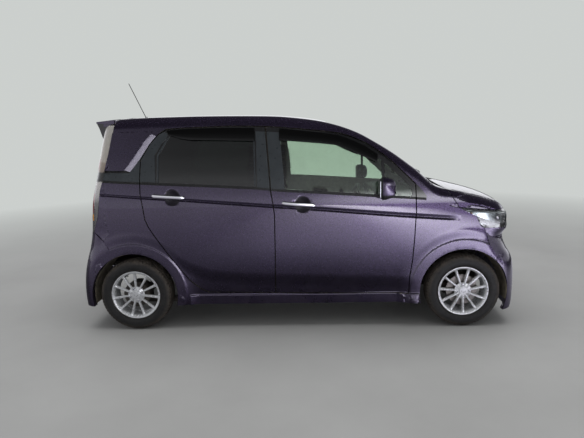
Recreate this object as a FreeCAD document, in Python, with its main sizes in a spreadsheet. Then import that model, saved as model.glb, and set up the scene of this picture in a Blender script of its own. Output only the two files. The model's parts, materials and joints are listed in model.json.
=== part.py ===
import FreeCAD, Part
import Sketcher
import math
import os

# A tall kei hatchback in millimetres. +X is forward, +Y is the car's left side and +Z is up.
# The origin lies on the ground under the middle of the body's length and width.

V = FreeCAD.Vector
doc = FreeCAD.newDocument("kei_car")
sheet = doc.addObject("Spreadsheet::Sheet", "Sizes")

SIZES = [
    ("wheelbase", 2520, "distance between the axles"),
    ("front_overhang", 445, "front axle to the nose"),
    ("rear_overhang", 430, "rear axle to the tail"),
    ("body_width", 1475, "greatest width of the body"),
    ("roof_height", 1655, "roof at its highest point"),
    ("belt_height", 1060, "lower edge of the side windows at mid body"),
    ("door_bottom", 279, "lower edge of the side doors"),
    ("track", 1305, "distance between the tyre centres of an axle"),
    ("tyre_radius", 278.5, "rolling radius"),
    ("tyre_width", 155, "tyre section"),
    ("rim_radius", 190, "rim flange radius"),
    ("arch_gap", 54.5, "arch edge outside the tyre"),
    ("flare_face", 62, "flat face of the wheel flares"),
    ("flare_slope", 110, "width of the slope outside that face"),
    ("front_door_lead", 372, "front axle back to the front door's leading edge"),
    ("rear_door_trail", 93, "rear axle forward to the rear door's trailing edge"),
    ("pillar_back", 165, "middle pillar line behind the middle of the wheelbase"),
    ("panel_gap", 8, "gap between a door and the panel beside it"),
    ("door_wall", 60, "door thickness below the window"),
    ("frame_wall", 38, "thickness of the window frames and roof rails"),
    ("roof_wall", 30, "thickness of the roof"),
    ("bonnet_wall", 24, "thickness of the bonnet"),
    ("bumper_wall", 44, "thickness of the bumpers"),
    ("tail_wall", 50, "thickness of the tailgate below its glass"),
    ("tail_frame_wall", 30, "thickness of the tailgate beside and above its glass"),
    ("glass_inset", 5, "glass surface inside the panel surface"),
    ("glass_wall", 5, "thickness of the glass"),
    ("seal_space", 14, "door's inner face to the frame behind it"),
    ("ring_wall", 34, "thickness of the frame behind the doors"),
    ("ring_lap", 28, "how far that frame shows inside the door edge"),
    ("hinge_inset", 5, "door hinge axis inside the outer surface"),
    ("hinge_setback", 30, "door hinge axis behind the leading edge"),
    ("screen_pillar", 62, "width of the pillar beside the windscreen"),
    ("roof_rail", 62, "width of the roof rail above the doors"),
    ("tailgate_half", 585, "half width of the tailgate at the belt"),
    ("tailgate_bottom", 610, "lower edge of the tailgate"),
    ("sill_inner", 556, "half distance between the inner faces of the sills"),
    ("sill_bottom", 196, "lower edge of the side skirts"),
    ("floor_top", 232, "floor of the cabin"),
    ("floor_wall", 30, "thickness of the floor"),
    ("floor_step_x", 900, "rear floor step behind the middle of the wheelbase"),
    ("rear_floor_top", 470, "floor of the luggage space"),
    ("firewall_x", 1000, "firewall ahead of the middle of the wheelbase"),
    ("seat_width", 470, "front seat cushion width"),
    ("seat_y", 330, "front seat centre beside the middle of the car"),
    ("hub_radius", 28, "hub spigot radius"),
    ("fit", 0.05, "radial running clearance of hubs and pins"),
    ("steer_axis_y", 618, "half distance between the steering axes"),
    ("disc_radius", 118, "front brake disc radius"),
    ("wheel_rim_radius", 178, "steering wheel rim radius"),
    ("mirror_reach", 78, "mirror centre outside the body"),
    ("rim_width", 116, "rim width between the flanges"),
    ("bead_radius", 178, "tyre seat on the rim"),
    ("tread_width", 124, "width of the tread"),
    ("hub_face", 45, "wheel mounting face outboard of the tyre's middle plane"),
    ("window_outer", 150, "outer radius of the openings between the spokes"),
    ("window_inner", 62, "inner radius of the openings between the spokes"),
    ("spokes", 11, "spokes of a wheel"),
    ("drum_radius", 100, "rear brake drum radius"),
    ("beam_radius", 34, "rear axle beam radius"),
    ("arm_low", 158, "underside of the front lower arms"),
    ("stud_radius", 9, "ball stud radius of the lower arms"),
    ("engine_half", 300, "half width of the engine"),
    ("engine_low", 252, "underside of the engine"),
    ("engine_high", 850, "top of the engine"),
    ("house_inner", 405, "half distance between the wheel houses"),
    ("firewall_top", 1010, "top of the firewall"),
    ("seat_front_x", 330, "front edge of the front seats"),
    ("seat_top", 545, "top of the front seat cushions"),
    ("bench_front_x", -440, "front edge of the rear bench"),
    ("bench_top", 560, "top of the rear bench cushion"),
    ("bench_half", 560, "half width of the rear bench"),
    ("dash_x", 660, "rear face of the dashboard"),
    ("dash_half", 600, "half width of the dashboard"),
    ("dash_top_z", 1000, "top of the dashboard"),
    ("wheel_x", 430, "steering wheel centre ahead of the middle of the wheelbase"),
    ("wheel_z", 905, "steering wheel centre height"),
    ("column_tilt", 26, "slope of the steering column"),
    ("aerial_length", 330, "length of the aerial rod"),
    ("tow_hole", 9, "radius of the towing eye's threaded hole"),
    ("plate_pitch", 210, "distance between the number plate holes"),
]
for number, (name, value, note) in enumerate(SIZES, start=1):
    sheet.set("A%d" % number, name)
    sheet.set("B%d" % number, str(value))
    sheet.setAlias("B%d" % number, name)
    sheet.set("C%d" % number, note)
doc.recompute()


def size(name):
    return float(getattr(sheet, name))


HALF_BASE = size("wheelbase") / 2
FRONT_END = HALF_BASE + size("front_overhang")
REAR_END = -HALF_BASE - size("rear_overhang")
# Construction is measured from the middle of the wheelbase; pieces are then moved by SHIFT,
# so that the origin is under the middle of the body.
SHIFT = -(FRONT_END + REAR_END) / 2
HALF_WIDTH = size("body_width") / 2
AXLE_Z = size("tyre_radius")
ARCH = AXLE_Z + size("arch_gap")
GAP = size("panel_gap")

# The drawn stations along the car and up it, and where the sizes put them.
X_DRAWN = (-1690.0, -1260.0, -1167.0, -165.0, 888.0, 1260.0, 1705.0)
X_BUILT = (
    REAR_END,
    -HALF_BASE,
    -HALF_BASE + size("rear_door_trail"),
    -size("pillar_back"),
    HALF_BASE - size("front_door_lead"),
    HALF_BASE,
    FRONT_END,
)
Z_DRAWN = (0.0, 279.0, 1060.0, 1655.0)
Z_BUILT = (0.0, size("door_bottom"), size("belt_height"), size("roof_height"))


def between(xs, ys, x):
    """Straight interpolation that runs on past both ends."""
    k = 0
    while k < len(xs) - 2 and x > xs[k + 1]:
        k += 1
    return ys[k] + (ys[k + 1] - ys[k]) * (x - xs[k]) / (xs[k + 1] - xs[k])


def smooth(points, x):
    """Cubic through drawn points, held level past both ends."""
    if x <= points[0][0]:
        return points[0][1]
    if x >= points[-1][0]:
        return points[-1][1]
    k = 0
    while x > points[k + 1][0]:
        k += 1
    x0, y0 = points[k]
    x1, y1 = points[k + 1]

    def slope(i):
        if i <= 0 or i >= len(points) - 1:
            j = max(0, min(i, len(points) - 2))
            return (points[j + 1][1] - points[j][1]) / (points[j + 1][0] - points[j][0])
        return (points[i + 1][1] - points[i - 1][1]) / (points[i + 1][0] - points[i - 1][0])

    step = x1 - x0
    u = (x - x0) / step
    h00 = 2 * u ** 3 - 3 * u ** 2 + 1
    h10 = u ** 3 - 2 * u ** 2 + u
    h01 = -2 * u ** 3 + 3 * u ** 2
    h11 = u ** 3 - u ** 2
    return h00 * y0 + h10 * step * slope(k) + h01 * y1 + h11 * step * slope(k + 1)


def bx(x):
    return between(X_DRAWN, X_BUILT, x)


def bz(z):
    return between(Z_DRAWN, Z_BUILT, z)


def dx(x):
    return between(X_BUILT, X_DRAWN, x)


def dz(z):
    return between(Z_BUILT, Z_DRAWN, z)


# Half width by height, nose and tail by height, and the centre line of roof, screen and bonnet.
SIDE = [
    (120, 688), (200, 700), (290, 713), (400, 724), (520, 733), (640, 737.5), (780, 737.5),
    (900, 735), (980, 731), (1060, 721), (1160, 702), (1300, 668), (1400, 643), (1500, 619),
    (1600, 596), (1700, 572),
]
NOSE = [
    (100, 1690), (160, 1701), (250, 1705), (400, 1704), (480, 1698), (540, 1684), (600, 1652),
    (670, 1630), (730, 1634), (800, 1640), (860, 1640), (900, 1640), (1000, 1640),
]
TAIL = [
    (150, -1680), (220, -1688), (330, -1690), (460, -1678), (560, -1655), (650, -1626),
    (760, -1602), (900, -1588), (1020, -1575), (1125, -1556), (1210, -1538), (1324, -1522),
    (1450, -1500), (1560, -1476), (1650, -1450),
]
TOP = [
    (-1700, 1622), (-1500, 1636), (-1378, 1645), (-1154, 1653), (-900, 1655), (-717, 1655),
    (-400, 1650), (-132, 1640), (42, 1622), (194, 1598), (346, 1558), (480, 1506), (600, 1440),
    (737, 1355), (872, 1256), (966, 1184), (1020, 1140), (1080, 1102), (1150, 1078),
    (1240, 1058), (1340, 1034), (1450, 1006), (1540, 977), (1600, 948), (1650, 905),
    (1690, 850), (1720, 780),
]


def half_side(x, z):
    """Half width of the body, drawn out to the wheel flares round the arches."""
    taper = 14.0 * min(1.0, abs(dx(x)) / 1500.0) ** 4
    plain = (smooth(SIDE, dz(z)) - taper) * HALF_WIDTH / 737.5
    away = math.hypot(abs(x) - HALF_BASE, z - AXLE_Z) - ARCH
    u = max(0.0, min(1.0, (away - size("flare_face")) / size("flare_slope")))
    return plain + (HALF_WIDTH - 1 - plain) * (1 - u * u * (3 - 2 * u))


def top(x, y):
    drawn = dx(x)
    across = abs(y) / HALF_WIDTH
    ahead = between((900, 1300), (0, 88), drawn) if drawn > 900 else 0.0
    ahead = min(ahead, 88)
    crown = between((1000, 1150), (38, 20), drawn)
    crown = max(20, min(38, crown))
    return bz(smooth(TOP, drawn + ahead * across ** 2) - crown * across ** 2)


def nose(y, z):
    across = abs(y) / HALF_WIDTH
    bow = between((500, 800), (52, 80), dz(z))
    bow = max(52, min(80, bow))
    return bx(smooth(NOSE, dz(z))) - bow * across ** 2


def tail(y, z):
    across = abs(y) / HALF_WIDTH
    return bx(smooth(TAIL, dz(z))) + 16 * across ** 2


def rounded(a, b, radius):
    u = radius - a
    v = radius - b
    if u > 0 and v > 0:
        return radius - math.hypot(u, v)
    return min(a, b)


def inside(x, y, z, ends=True):
    """Depth below the outer surface of the body, the nose and tail included where ends."""
    drawn = dx(x)
    edge = between((900, 1200), (72, 46), drawn)
    edge = max(46, min(72, edge))
    front_round = between((500, 850), (150, 190), dz(z))
    front_round = max(150, min(190, front_round))
    depth = rounded(half_side(x, z) - abs(y), top(x, y) - z, edge)
    if ends and drawn > 1000:
        depth = rounded(depth, nose(y, z) - x, front_round if z < top(x, y) - 200 else 60)
    if ends and drawn < -1000:
        depth = rounded(depth, x - tail(y, z), 100)
    return depth


def hit(start, way, off, ends=True, reach=1300.0):
    """Point where the ray from start comes to the depth off."""
    low = 0.0
    high = reach
    step = reach / 26
    while low + step < high:
        p = start + way * (low + step)
        if inside(p.x, p.y, p.z, ends) < off:
            high = low + step
            break
        low += step
    for _ in range(22):
        mid = (low + high) / 2
        p = start + way * mid
        if inside(p.x, p.y, p.z, ends) < off:
            high = mid
        else:
            low = mid
    return start + way * low


def wall(z, lower, upper):
    """Wall thickness that changes from lower to upper at the belt."""
    u = (dz(z) - 1000) / 90
    u = max(0.0, min(1.0, u))
    return lower + (upper - lower) * u * u * (3 - 2 * u)


def spread(rows):
    """Shared parameters of the points of all rows, from the mean lengths between them."""
    count = len(rows[0])
    lengths = [0.0] * (count - 1)
    for row in rows:
        for k in range(count - 1):
            lengths[k] += row[k].distanceToPoint(row[k + 1]) / len(rows)
    total = sum(lengths)
    floor = 0.3 * total / (count - 1)
    lengths = [max(part, floor) for part in lengths]
    total = sum(lengths)
    params = [0.0]
    for part in lengths:
        params.append(params[-1] + part / total)
    params[-1] = 1.0
    return params


def knot_row(params):
    inner = [sum(params[k + 1:k + 4]) / 3 for k in range(len(params) - 4)]
    return [0.0] * 4 + inner + [1.0] * 4


def basis_row(knots, count, u):
    if u >= 1.0:
        return [0.0] * (count - 1) + [1.0]
    values = [1.0 if knots[k] <= u < knots[k + 1] else 0.0 for k in range(len(knots) - 1)]
    for degree in (1, 2, 3):
        raised = []
        for k in range(len(knots) - 1 - degree):
            left = knots[k + degree] - knots[k]
            right = knots[k + degree + 1] - knots[k + 1]
            value = 0.0
            if left > 0:
                value += values[k] * (u - knots[k]) / left
            if right > 0:
                value += values[k + 1] * (knots[k + degree + 1] - u) / right
            raised.append(value)
        values = raised
    return values[:count]


def inverse(matrix):
    count = len(matrix)
    work = [list(row) + [1.0 if i == k else 0.0 for k in range(count)] for i, row in enumerate(matrix)]
    for i in range(count):
        best = max(range(i, count), key=lambda r: abs(work[r][i]))
        work[i], work[best] = work[best], work[i]
        lead = work[i][i]
        work[i] = [value / lead for value in work[i]]
        for r in range(count):
            factor = work[r][i]
            if r != i and factor != 0.0:
                work[r] = [a - factor * b for a, b in zip(work[r], work[i])]
    return [row[count:] for row in work]


def poles_through(rows, params, knots):
    """Control points, row by row, of the cubics through the points of each row."""
    count = len(params)
    solve = inverse([basis_row(knots, count, u) for u in params])
    result = []
    for row in rows:
        poles = []
        for weights in solve:
            x = sum(a * p.x for a, p in zip(weights, row))
            y = sum(a * p.y for a, p in zip(weights, row))
            z = sum(a * p.z for a, p in zip(weights, row))
            poles.append(V(x, y, z))
        result.append(poles)
    return result


def turned_over(rows):
    return [list(column) for column in zip(*rows)]


def skin_face(rows):
    """Smooth cubic face through a grid of points."""
    v_params = spread(rows)
    u_params = spread(turned_over(rows))
    v_knots = knot_row(v_params)
    u_knots = knot_row(u_params)
    half_done = poles_through(rows, v_params, v_knots)
    poles = turned_over(poles_through(turned_over(half_done), u_params, u_knots))
    surface = Part.BSplineSurface()
    u_mults = [4] + [1] * (len(u_params) - 4) + [4]
    v_mults = [4] + [1] * (len(v_params) - 4) + [4]
    surface.buildFromPolesMultsKnots(
        poles, u_mults, v_mults, u_knots[3:-3], v_knots[3:-3], False, False, 3, 3
    )
    return surface.toShape()


def slab(outer_rows, inner_rows):
    """Closed solid between two skins drawn over the same rows."""
    outer = skin_face(outer_rows)
    inner = skin_face(inner_rows)
    faces = [outer, inner]
    for edge in outer.Edges:
        middle = edge.valueAt((edge.FirstParameter + edge.LastParameter) / 2)
        mate = min(inner.Edges, key=lambda e: e.valueAt((e.FirstParameter + e.LastParameter) / 2).distanceToPoint(middle))
        faces.append(Part.makeRuledSurface(edge, mate))
    shell = Part.makeShell(faces)
    shell.sewShape()
    solid = Part.makeSolid(Part.Shell(shell.Faces) if shell.ShapeType != "Shell" else shell)
    if solid.Volume < 0:
        solid.reverse()
    return solid


def tunnel(x0, x1, count, lower, upper, whole=False):
    """Rows of points up the right side and over the top, to the left side where whole."""
    rows = []
    ends = lower <= 0
    for i in range(count):
        station = x0 + (x1 - x0) * i / (count - 1)
        x = bx(station)
        lean = 0.2 * max(0.0, min(1.0, (-900 - station) / 485)) ** 2
        shoulder = 600 * HALF_WIDTH / 737.5
        deep = wall(top(x, shoulder) - 80, lower, upper)
        turn = top(x, shoulder) - 80 - deep
        foot = bz(150)
        half = []
        for k in range(15):
            z = foot + (turn - foot) * k / 14
            back = max(bx(-1556), x - lean * (turn - z))
            half.append(hit(V(back, 0, z), V(0, -1, 0), wall(z, lower, upper), ends))
        centre = -half[-1].y - 80
        for angle in (20, 45, 70):
            a = math.radians(angle)
            half.append(hit(V(x, -centre, turn), V(0, -math.cos(a), math.sin(a)), deep, ends))
        for k in range(6):
            half.append(hit(V(x, -centre * (1 - k / 6), turn - 100), V(0, 0, 1), deep, ends))
        middle = [hit(V(x, 0, turn - 100), V(0, 0, 1), deep, ends)]
        mirror_half = [V(p.x, -p.y, p.z) for p in reversed(half)]
        rows.append(half + middle + mirror_half if whole else half)
    return rows


def turned(x0, heights, angles, off, upper=None):
    """Rows of points round the plan curves of the nose or tail, one row at each height."""
    rows = []
    for drawn in heights:
        z = bz(drawn)
        deep = off if upper is None else wall(z, off, upper)
        row = []
        for angle in angles:
            a = math.radians(angle)
            way = V(math.cos(a), -math.sin(a), 0)
            row.append(hit(V(bx(x0), 0, z), way, deep))
        rows.append(row)
    return rows


def fan(off):
    """Rows of points over the bonnet, in planes that lean further forward row by row."""
    rows = []
    for i in range(16):
        u = i / 15
        start = V(bx(1040 + 400 * u), 0, bz(800))
        lean = math.radians(80 * max(0.0, (u - 0.4) / 0.6) ** 1.2)
        row = []
        for angle in (-90, -84, -78, -72, -66, -60, -50, -38, -25, -12, 0, 12, 25, 38, 50, 60, 66, 72, 78, 84, 90):
            a = math.radians(angle)
            way = V(math.sin(lean) * math.cos(a), math.sin(a), math.cos(lean) * math.cos(a))
            row.append(hit(start, way, off))
        rows.append(row)
    return rows


NOSE_ANGLES = [90, 84, 77, 70, 62, 55, 50, 46, 42, 38, 34, 30, 24, 18, 12, 6, 0]
NOSE_ANGLES += [-a for a in reversed(NOSE_ANGLES[:-1])]
TAIL_ANGLES = [90, 99, 108, 116, 123, 128, 132, 136, 140, 144, 148, 152, 156, 162, 168, 174, 180]
TAIL_ANGLES += [360 - a for a in reversed(TAIL_ANGLES[:-1])]
NOSE_HEIGHTS = [130, 160, 200, 250, 300, 360, 420, 480, 530, 580, 640, 700, 760, 820, 870, 900, 925]
TAIL_HEIGHTS = [190, 230, 300, 380, 460, 540, 620, 700, 780, 860, 940, 1020, 1100, 1180, 1260, 1340, 1420,
                1480, 1520, 1550, 1572, 1590]

CUT_FRONT = 1200
CUT_REAR = -1100
LAST_STATION = -1392
cabin = slab(
    tunnel(LAST_STATION, CUT_FRONT, 32, 0, 0),
    tunnel(LAST_STATION, CUT_FRONT, 32, size("door_wall"), size("frame_wall")),
)
glass_out = size("glass_inset")
glass_in = size("glass_inset") + size("glass_wall")
glass_band = slab(
    tunnel(LAST_STATION, 1100, 28, glass_out, glass_out),
    tunnel(LAST_STATION, 1100, 28, glass_in, glass_in),
)
seal_low = size("door_wall") + size("seal_space")
seal_high = size("frame_wall") + size("seal_space")
seal_band = slab(
    tunnel(LAST_STATION, 1060, 28, -20, -20),
    tunnel(LAST_STATION, 1060, 28, seal_low, seal_high),
)
frame_band = slab(
    tunnel(LAST_STATION, 1010, 28, 0, 0),
    tunnel(LAST_STATION, 1010, 28, seal_low + size("ring_wall"), seal_high + size("ring_wall")),
)
roof_band = slab(
    tunnel(LAST_STATION, 240, 20, 0, 0, True),
    tunnel(LAST_STATION, 240, 20, size("door_wall"), size("roof_wall"), True),
)
nose_band = slab(
    turned(CUT_FRONT, NOSE_HEIGHTS, NOSE_ANGLES, 0),
    turned(CUT_FRONT, NOSE_HEIGHTS, NOSE_ANGLES, size("bumper_wall")),
)
tail_band = slab(
    turned(CUT_REAR, TAIL_HEIGHTS, TAIL_ANGLES, 0),
    turned(CUT_REAR, TAIL_HEIGHTS, TAIL_ANGLES, size("tail_wall"), size("tail_frame_wall")),
)
tail_glass_band = slab(
    turned(CUT_REAR, TAIL_HEIGHTS, TAIL_ANGLES, size("glass_inset")),
    turned(CUT_REAR, TAIL_HEIGHTS, TAIL_ANGLES, size("glass_inset") + size("glass_wall")),
)
bonnet_band = slab(fan(0), fan(size("bonnet_wall")))


# Outlines in the side view, as drawn stations (x, z) on the right side of the car.
DOOR_TOP = [
    (-1167, 1319), (-1101, 1429), (-1036, 1502), (-967, 1540), (-840, 1549), (-483, 1556),
    (-183, 1544), (41, 1523), (344, 1481), (419, 1457), (531, 1408), (707, 1281), (853, 1137),
    (885, 1104),
]
SPLIT_TOP = [(-219, 1546), (-207, 1400), (-196, 1250), (-190, 1152), (-187, 1076)]
SPLIT_LOW = [(-187, 1076), (-169, 970), (-160, 894), (-163, 600), (-171, 279)]
FRONT_EDGE = [(885, 1104), (888, 987), (890, 898), (884, 780), (880, 687), (868, 518), (850, 400), (844, 267)]
REAR_EDGE = [
    (-692, 292), (-751, 322), (-825, 392), (-890, 477), (-960, 575), (-1025, 671), (-1080, 755),
    (-1116, 815), (-1140, 874), (-1152, 973), (-1167, 1061),
]
DOOR_FOOT = [(-692, 290), (-171, 279), (300, 272), (844, 267)]
BELT = [(-1171, 1150), (-986, 1138), (-640, 1117), (-294, 1096), (-116, 1076), (230, 1050), (578, 1024), (878, 1003)]
FRONT_DOOR = (
    [(-217, 1546), (-183, 1544), (41, 1523), (200, 1504), (344, 1481), (419, 1457), (531, 1408), (620, 1348),
     (707, 1281), (853, 1137)]
    + FRONT_EDGE
    + [(300, 272), (-171, 279), (-163, 600), (-160, 894), (-169, 970), (-186, 1076), (-189, 1152), (-202, 1350)]
)
REAR_DOOR = (
    [(-1163, 1319), (-1097, 1429), (-1032, 1502), (-967, 1540), (-840, 1549), (-483, 1556), (-221, 1546)]
    + [(-206, 1350), (-191, 1152), (-187, 1076), (-169, 970), (-160, 894), (-163, 600), (-171, 279)]
    + REAR_EDGE
    + [(-1170, 1190)]
)
FRONT_WINDOW = [
    (-112, 1497), (41, 1478), (200, 1460), (330, 1435), (430, 1400), (520, 1358), (610, 1300), (700, 1226),
    (790, 1142), (850, 1080), (862, 1040), (850, 1012), (578, 1031), (230, 1058), (-78, 1081),
]
REAR_WINDOW = [
    (-1056, 1349), (-1000, 1440), (-940, 1492), (-860, 1504), (-483, 1510), (-298, 1505), (-287, 1103),
    (-640, 1124), (-986, 1145), (-1050, 1150),
]


def offset_outline(points, distance):
    """Outline moved outward by distance, with mitred corners."""
    area = 0.0
    for (x0, z0), (x1, z1) in zip(points, points[1:] + points[:1]):
        area += x0 * z1 - x1 * z0
    sign = 1.0 if area > 0 else -1.0
    result = []
    for k in range(len(points)):
        before = points[k - 1]
        here = points[k]
        after = points[(k + 1) % len(points)]
        ax, az = here[0] - before[0], here[1] - before[1]
        cx, cz = after[0] - here[0], after[1] - here[1]
        la, lc = math.hypot(ax, az), math.hypot(cx, cz)
        n0 = (sign * az / la, -sign * ax / la)
        n1 = (sign * cz / lc, -sign * cx / lc)
        spread = max(0.35, 1 + n0[0] * n1[0] + n0[1] * n1[1])
        result.append((
            here[0] + distance * (n0[0] + n1[0]) / spread,
            here[1] + distance * (n0[1] + n1[1]) / spread,
        ))
    return result


def built(points):
    return [(bx(x), bz(z)) for x, z in points]


def prism_side(points, near=-900.0, far=-300.0):
    """Prism across the car over an outline in the side view, already in built sizes."""
    corners = [V(x, near, z) for x, z in points]
    face = Part.Face(Part.makePolygon(corners + corners[:1]))
    return face.extrude(V(0, far - near, 0))


def prism_plan(points, low, high):
    corners = [V(x, y, low) for x, y in points]
    face = Part.Face(Part.makePolygon(corners + corners[:1]))
    return face.extrude(V(0, 0, high - low))


def prism_end(points, start, end):
    """Prism along the car over an outline of (y, z) seen from the end."""
    corners = [V(start, y, z) for y, z in points]
    face = Part.Face(Part.makePolygon(corners + corners[:1]))
    return face.extrude(V(end - start, 0, 0))


def block(x0, x1, y0, y1, z0, z1):
    return Part.makeBox(x1 - x0, y1 - y0, z1 - z0, V(x0, y0, z0))


def rod(start, end, radius):
    way = end - start
    return Part.makeCylinder(radius, way.Length, start, way)


def mirrored(shape):
    return shape.mirror(V(0, 0, 0), V(0, 1, 0))


NODES = []


def piece(node, shape):
    """Keep a finished piece as an object of the document, placed from the middle of the body."""
    solids = [solid for solid in shape.Solids if solid.Volume > 1.0]
    shape = solids[0] if len(solids) == 1 else Part.makeCompound(solids)
    thing = doc.addObject("Part::Feature", node)
    thing.Label = node
    thing.Shape = shape
    thing.Placement = FreeCAD.Placement(V(SHIFT, 0, 0), FreeCAD.Rotation())
    NODES.append(thing)
    return thing


def pair(node, shape):
    """The same piece on the right side and, mirrored, on the left."""
    piece(node + "_right", shape)
    piece(node + "_left", mirrored(shape))


RIGHT = block(-2500, 2500, -900, -250, 0, 2000)
front_arch = Part.makeCylinder(ARCH, 700, V(HALF_BASE, -900, AXLE_Z), V(0, 1, 0))
rear_arch = Part.makeCylinder(ARCH, 700, V(-HALF_BASE, -900, AXLE_Z), V(0, 1, 0))

# Side doors and their glass.
front_outline = built(FRONT_DOOR)
rear_outline = built(REAR_DOOR)
front_prism = prism_side(offset_outline(front_outline, -GAP / 2))
rear_prism = prism_side(offset_outline(rear_outline, -GAP / 2))
front_window = prism_side(built(FRONT_WINDOW))
rear_window = prism_side(built(REAR_WINDOW))
half_cabin = cabin
door_front_whole = half_cabin.common(front_prism).cut(front_arch)
door_front = door_front_whole.cut(front_window)
door_rear = half_cabin.common(rear_prism).cut(rear_arch).cut(rear_window)
half_glass = glass_band
pair("door_front", door_front)
pair("door_rear", door_rear)
pair("window_front", half_glass.common(front_window))
pair("window_rear", half_glass.common(rear_window))

# Roof panel, windscreen and the side frames with the pillars, roof rails and sills.
SCREEN_SIDE = [
    (1010, 598), (966, 590), (872, 577), (737, 562), (591, 548), (486, 540), (346, 533), (236, 530),
]
ROOF_HALF = 530 * HALF_WIDTH / 737.5
screen_side = [(bx(x), -y * HALF_WIDTH / 737.5) for x, y in SCREEN_SIDE]
screen_plan = screen_side + [(x, -y) for x, y in reversed(screen_side)]
screen_prism = prism_plan(screen_plan, bz(1070), bz(1800))
roof_prism = block(bx(-1384), bx(236), -ROOF_HALF, ROOF_HALF, bz(1450), bz(1800))
windscreen_band = slab(
    tunnel(150, 1030, 14, glass_out, glass_out, True),
    tunnel(150, 1030, 14, glass_in, glass_in, True),
)
piece("windscreen", windscreen_band.common(screen_prism))
roof_shape = roof_band.common(roof_prism)
piece("roof", roof_shape)

# The quarter panel ends at the tail lamp and the bumper; the fender starts at the door.
LAMP_LINE = [
    (-1363, 1700), (-1363, 1606), (-1407, 1376), (-1438, 1244), (-1455, 1170), (-1478, 1096),
    (-1492, 979), (-1505, 896), (-1550, 781),
]
BUMPER_LINE = [(-1550, 781), (-1480, 718), (-1420, 625), (-1380, 560)]
FENDER = (
    FRONT_EDGE[1:]
    + [(844, 100), (1260, 100), (1260, 278), (1480, 530), (1430, 660), (1398, 767), (1366, 783), (1332, 857)]
    + [(1205, 921), (1113, 1058), (1015, 1102), (930, 1030), (889, 1000)]
)
SIDE_FRAME = LAMP_LINE + BUMPER_LINE[1:] + [(-1380, 196), (1010, 196), (1010, 1102), (1010, 1700)]
front_swing = offset_outline(front_outline, GAP / 2)
rear_swing = offset_outline(rear_outline, GAP / 2)
door_space = seal_band
lap = size("ring_lap")
front_hole = prism_side(offset_outline(front_outline, -lap))
rear_hole = prism_side(offset_outline(rear_outline, -lap))
front_free = prism_side(front_swing).common(block(bx(888) - 130, bx(888) + 60, -900, -300, 0, bz(1070)))
fender_prism = prism_side(built(FENDER))
fender_rear = half_cabin.common(fender_prism).cut(prism_side(front_swing)).cut(front_arch)
fender_rear = fender_rear.cut(block(-3000, 3000, -900, 0, 0, bz(267)))
fender_rear = fender_rear.cut(block(bx(905), 3000, -592 * HALF_WIDTH / 737.5, 0, bz(1000), 2000))
nose_half = nose_band.common(RIGHT)
fender_front = nose_half.common(fender_prism).cut(front_arch)
fender = fender_rear.fuse(fender_front).removeSplitter()
pair("fender", fender)
side = frame_band.common(prism_side(built(SIDE_FRAME)))
side = side.cut(screen_prism).cut(roof_prism).cut(front_arch).cut(rear_arch)
side = side.cut(door_space.common(prism_side(front_swing))).cut(door_space.common(prism_side(rear_swing)))
side = side.cut(front_hole).cut(rear_hole).cut(front_free)
side = side.cut(seal_band.common(fender_prism).cut(block(-3000, 3000, -900, 0, 0, bz(267))))


def striker(x, z):
    """Latch block from the frame to just short of the door's inner face."""
    corners = [half_side(bx(x) + a, bz(z) + b) for a in (-9, 9) for b in (-16, 16)]
    outer = -(min(corners) - size("door_wall") - 0.3)
    inner = -(max(corners) - seal_low - 2)
    return block(bx(x) - 9, bx(x) + 9, outer, inner, bz(z) - 16, bz(z) + 16)


side = side.fuse([striker(-147, 720), striker(-1123, 905)])
pair("body_side", side)


def height_slab(x0, x1, half, drop, thick_front, thick_rear, count=8):
    """Slab that follows the top surface, drop below it."""
    over = []
    under = []
    for i in range(count):
        u = i / (count - 1)
        x = bx(x0) + (bx(x1) - bx(x0)) * u
        thick = thick_rear + (thick_front - thick_rear) * u
        row = [V(x, half * (k / 6 - 1), 0) for k in range(13)]
        over.append([V(p.x, p.y, top(p.x, p.y) - drop) for p in row])
        under.append([V(p.x, p.y, top(p.x, p.y) - drop - thick) for p in row])
    return slab(over, under)


# Bonnet, cowl, headlamps, grille and front bumper.
BONNET_SIDE = [
    (1100, 1400), (1100, 1080), (1116, 1063), (1208, 928), (1412, 908), (1509, 902), (1580, 895), (1800, 895),
    (1800, 1400),
]
HEADLAMP = [
    (1211, 916), (1412, 897), (1509, 892), (1570, 886), (1800, 884), (1800, 770), (1398, 770), (1370, 790),
    (1337, 860),
]
bonnet = bonnet_band.common(prism_side(built(BONNET_SIDE), -900, 900))
piece("bonnet", bonnet)
lamp_inner = -385 * HALF_WIDTH / 737.5
headlamp = nose_half.common(prism_side(built(HEADLAMP))).common(block(0, 3000, -900, lamp_inner, 0, 2000))
headlamp = headlamp.cut(prism_side(offset_outline(built(FENDER), 0.2)))
pair("headlamp", headlamp)
grille_space = block(bx(1400), 3000, lamp_inner, -lamp_inner, bz(770), bz(884))
grille = nose_band.common(grille_space)
lock_top = bonnet.optimalBoundingBox(True, False).ZMin - 0.3
lock = block(bx(1560), nose(0, bz(880)) - 12, -30, 30, bz(800), lock_top)
grille = grille.fuse(lock)
piece("grille", grille)
bumper_cut = prism_side(offset_outline(built(FENDER), 1.0), -900, 900)
front_bumper = nose_band.common(block(bx(1300), 3000, -900, 900, 0, bz(768)))
front_bumper = front_bumper.cut(bumper_cut)
both_arches = Part.makeCylinder(ARCH, 1800, V(HALF_BASE, -900, AXLE_Z), V(0, 1, 0))
front_bumper = front_bumper.cut(both_arches)
plate_x = nose(170, bz(480)) - 1
plate_z = bz(400)
front_bumper = front_bumper.cut(block(plate_x, 3000, -172, 172, plate_z - 84, plate_z + 84))
for side_sign in (-1, 1):
    hole = V(plate_x - 100, side_sign * size("plate_pitch") / 2, plate_z)
    front_bumper = front_bumper.cut(rod(hole, hole + V(200, 0, 0), 3.5))
tow_face = nose(380, bz(330)) - 3
tow_mouth = V(tow_face, -380, bz(330))
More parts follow.
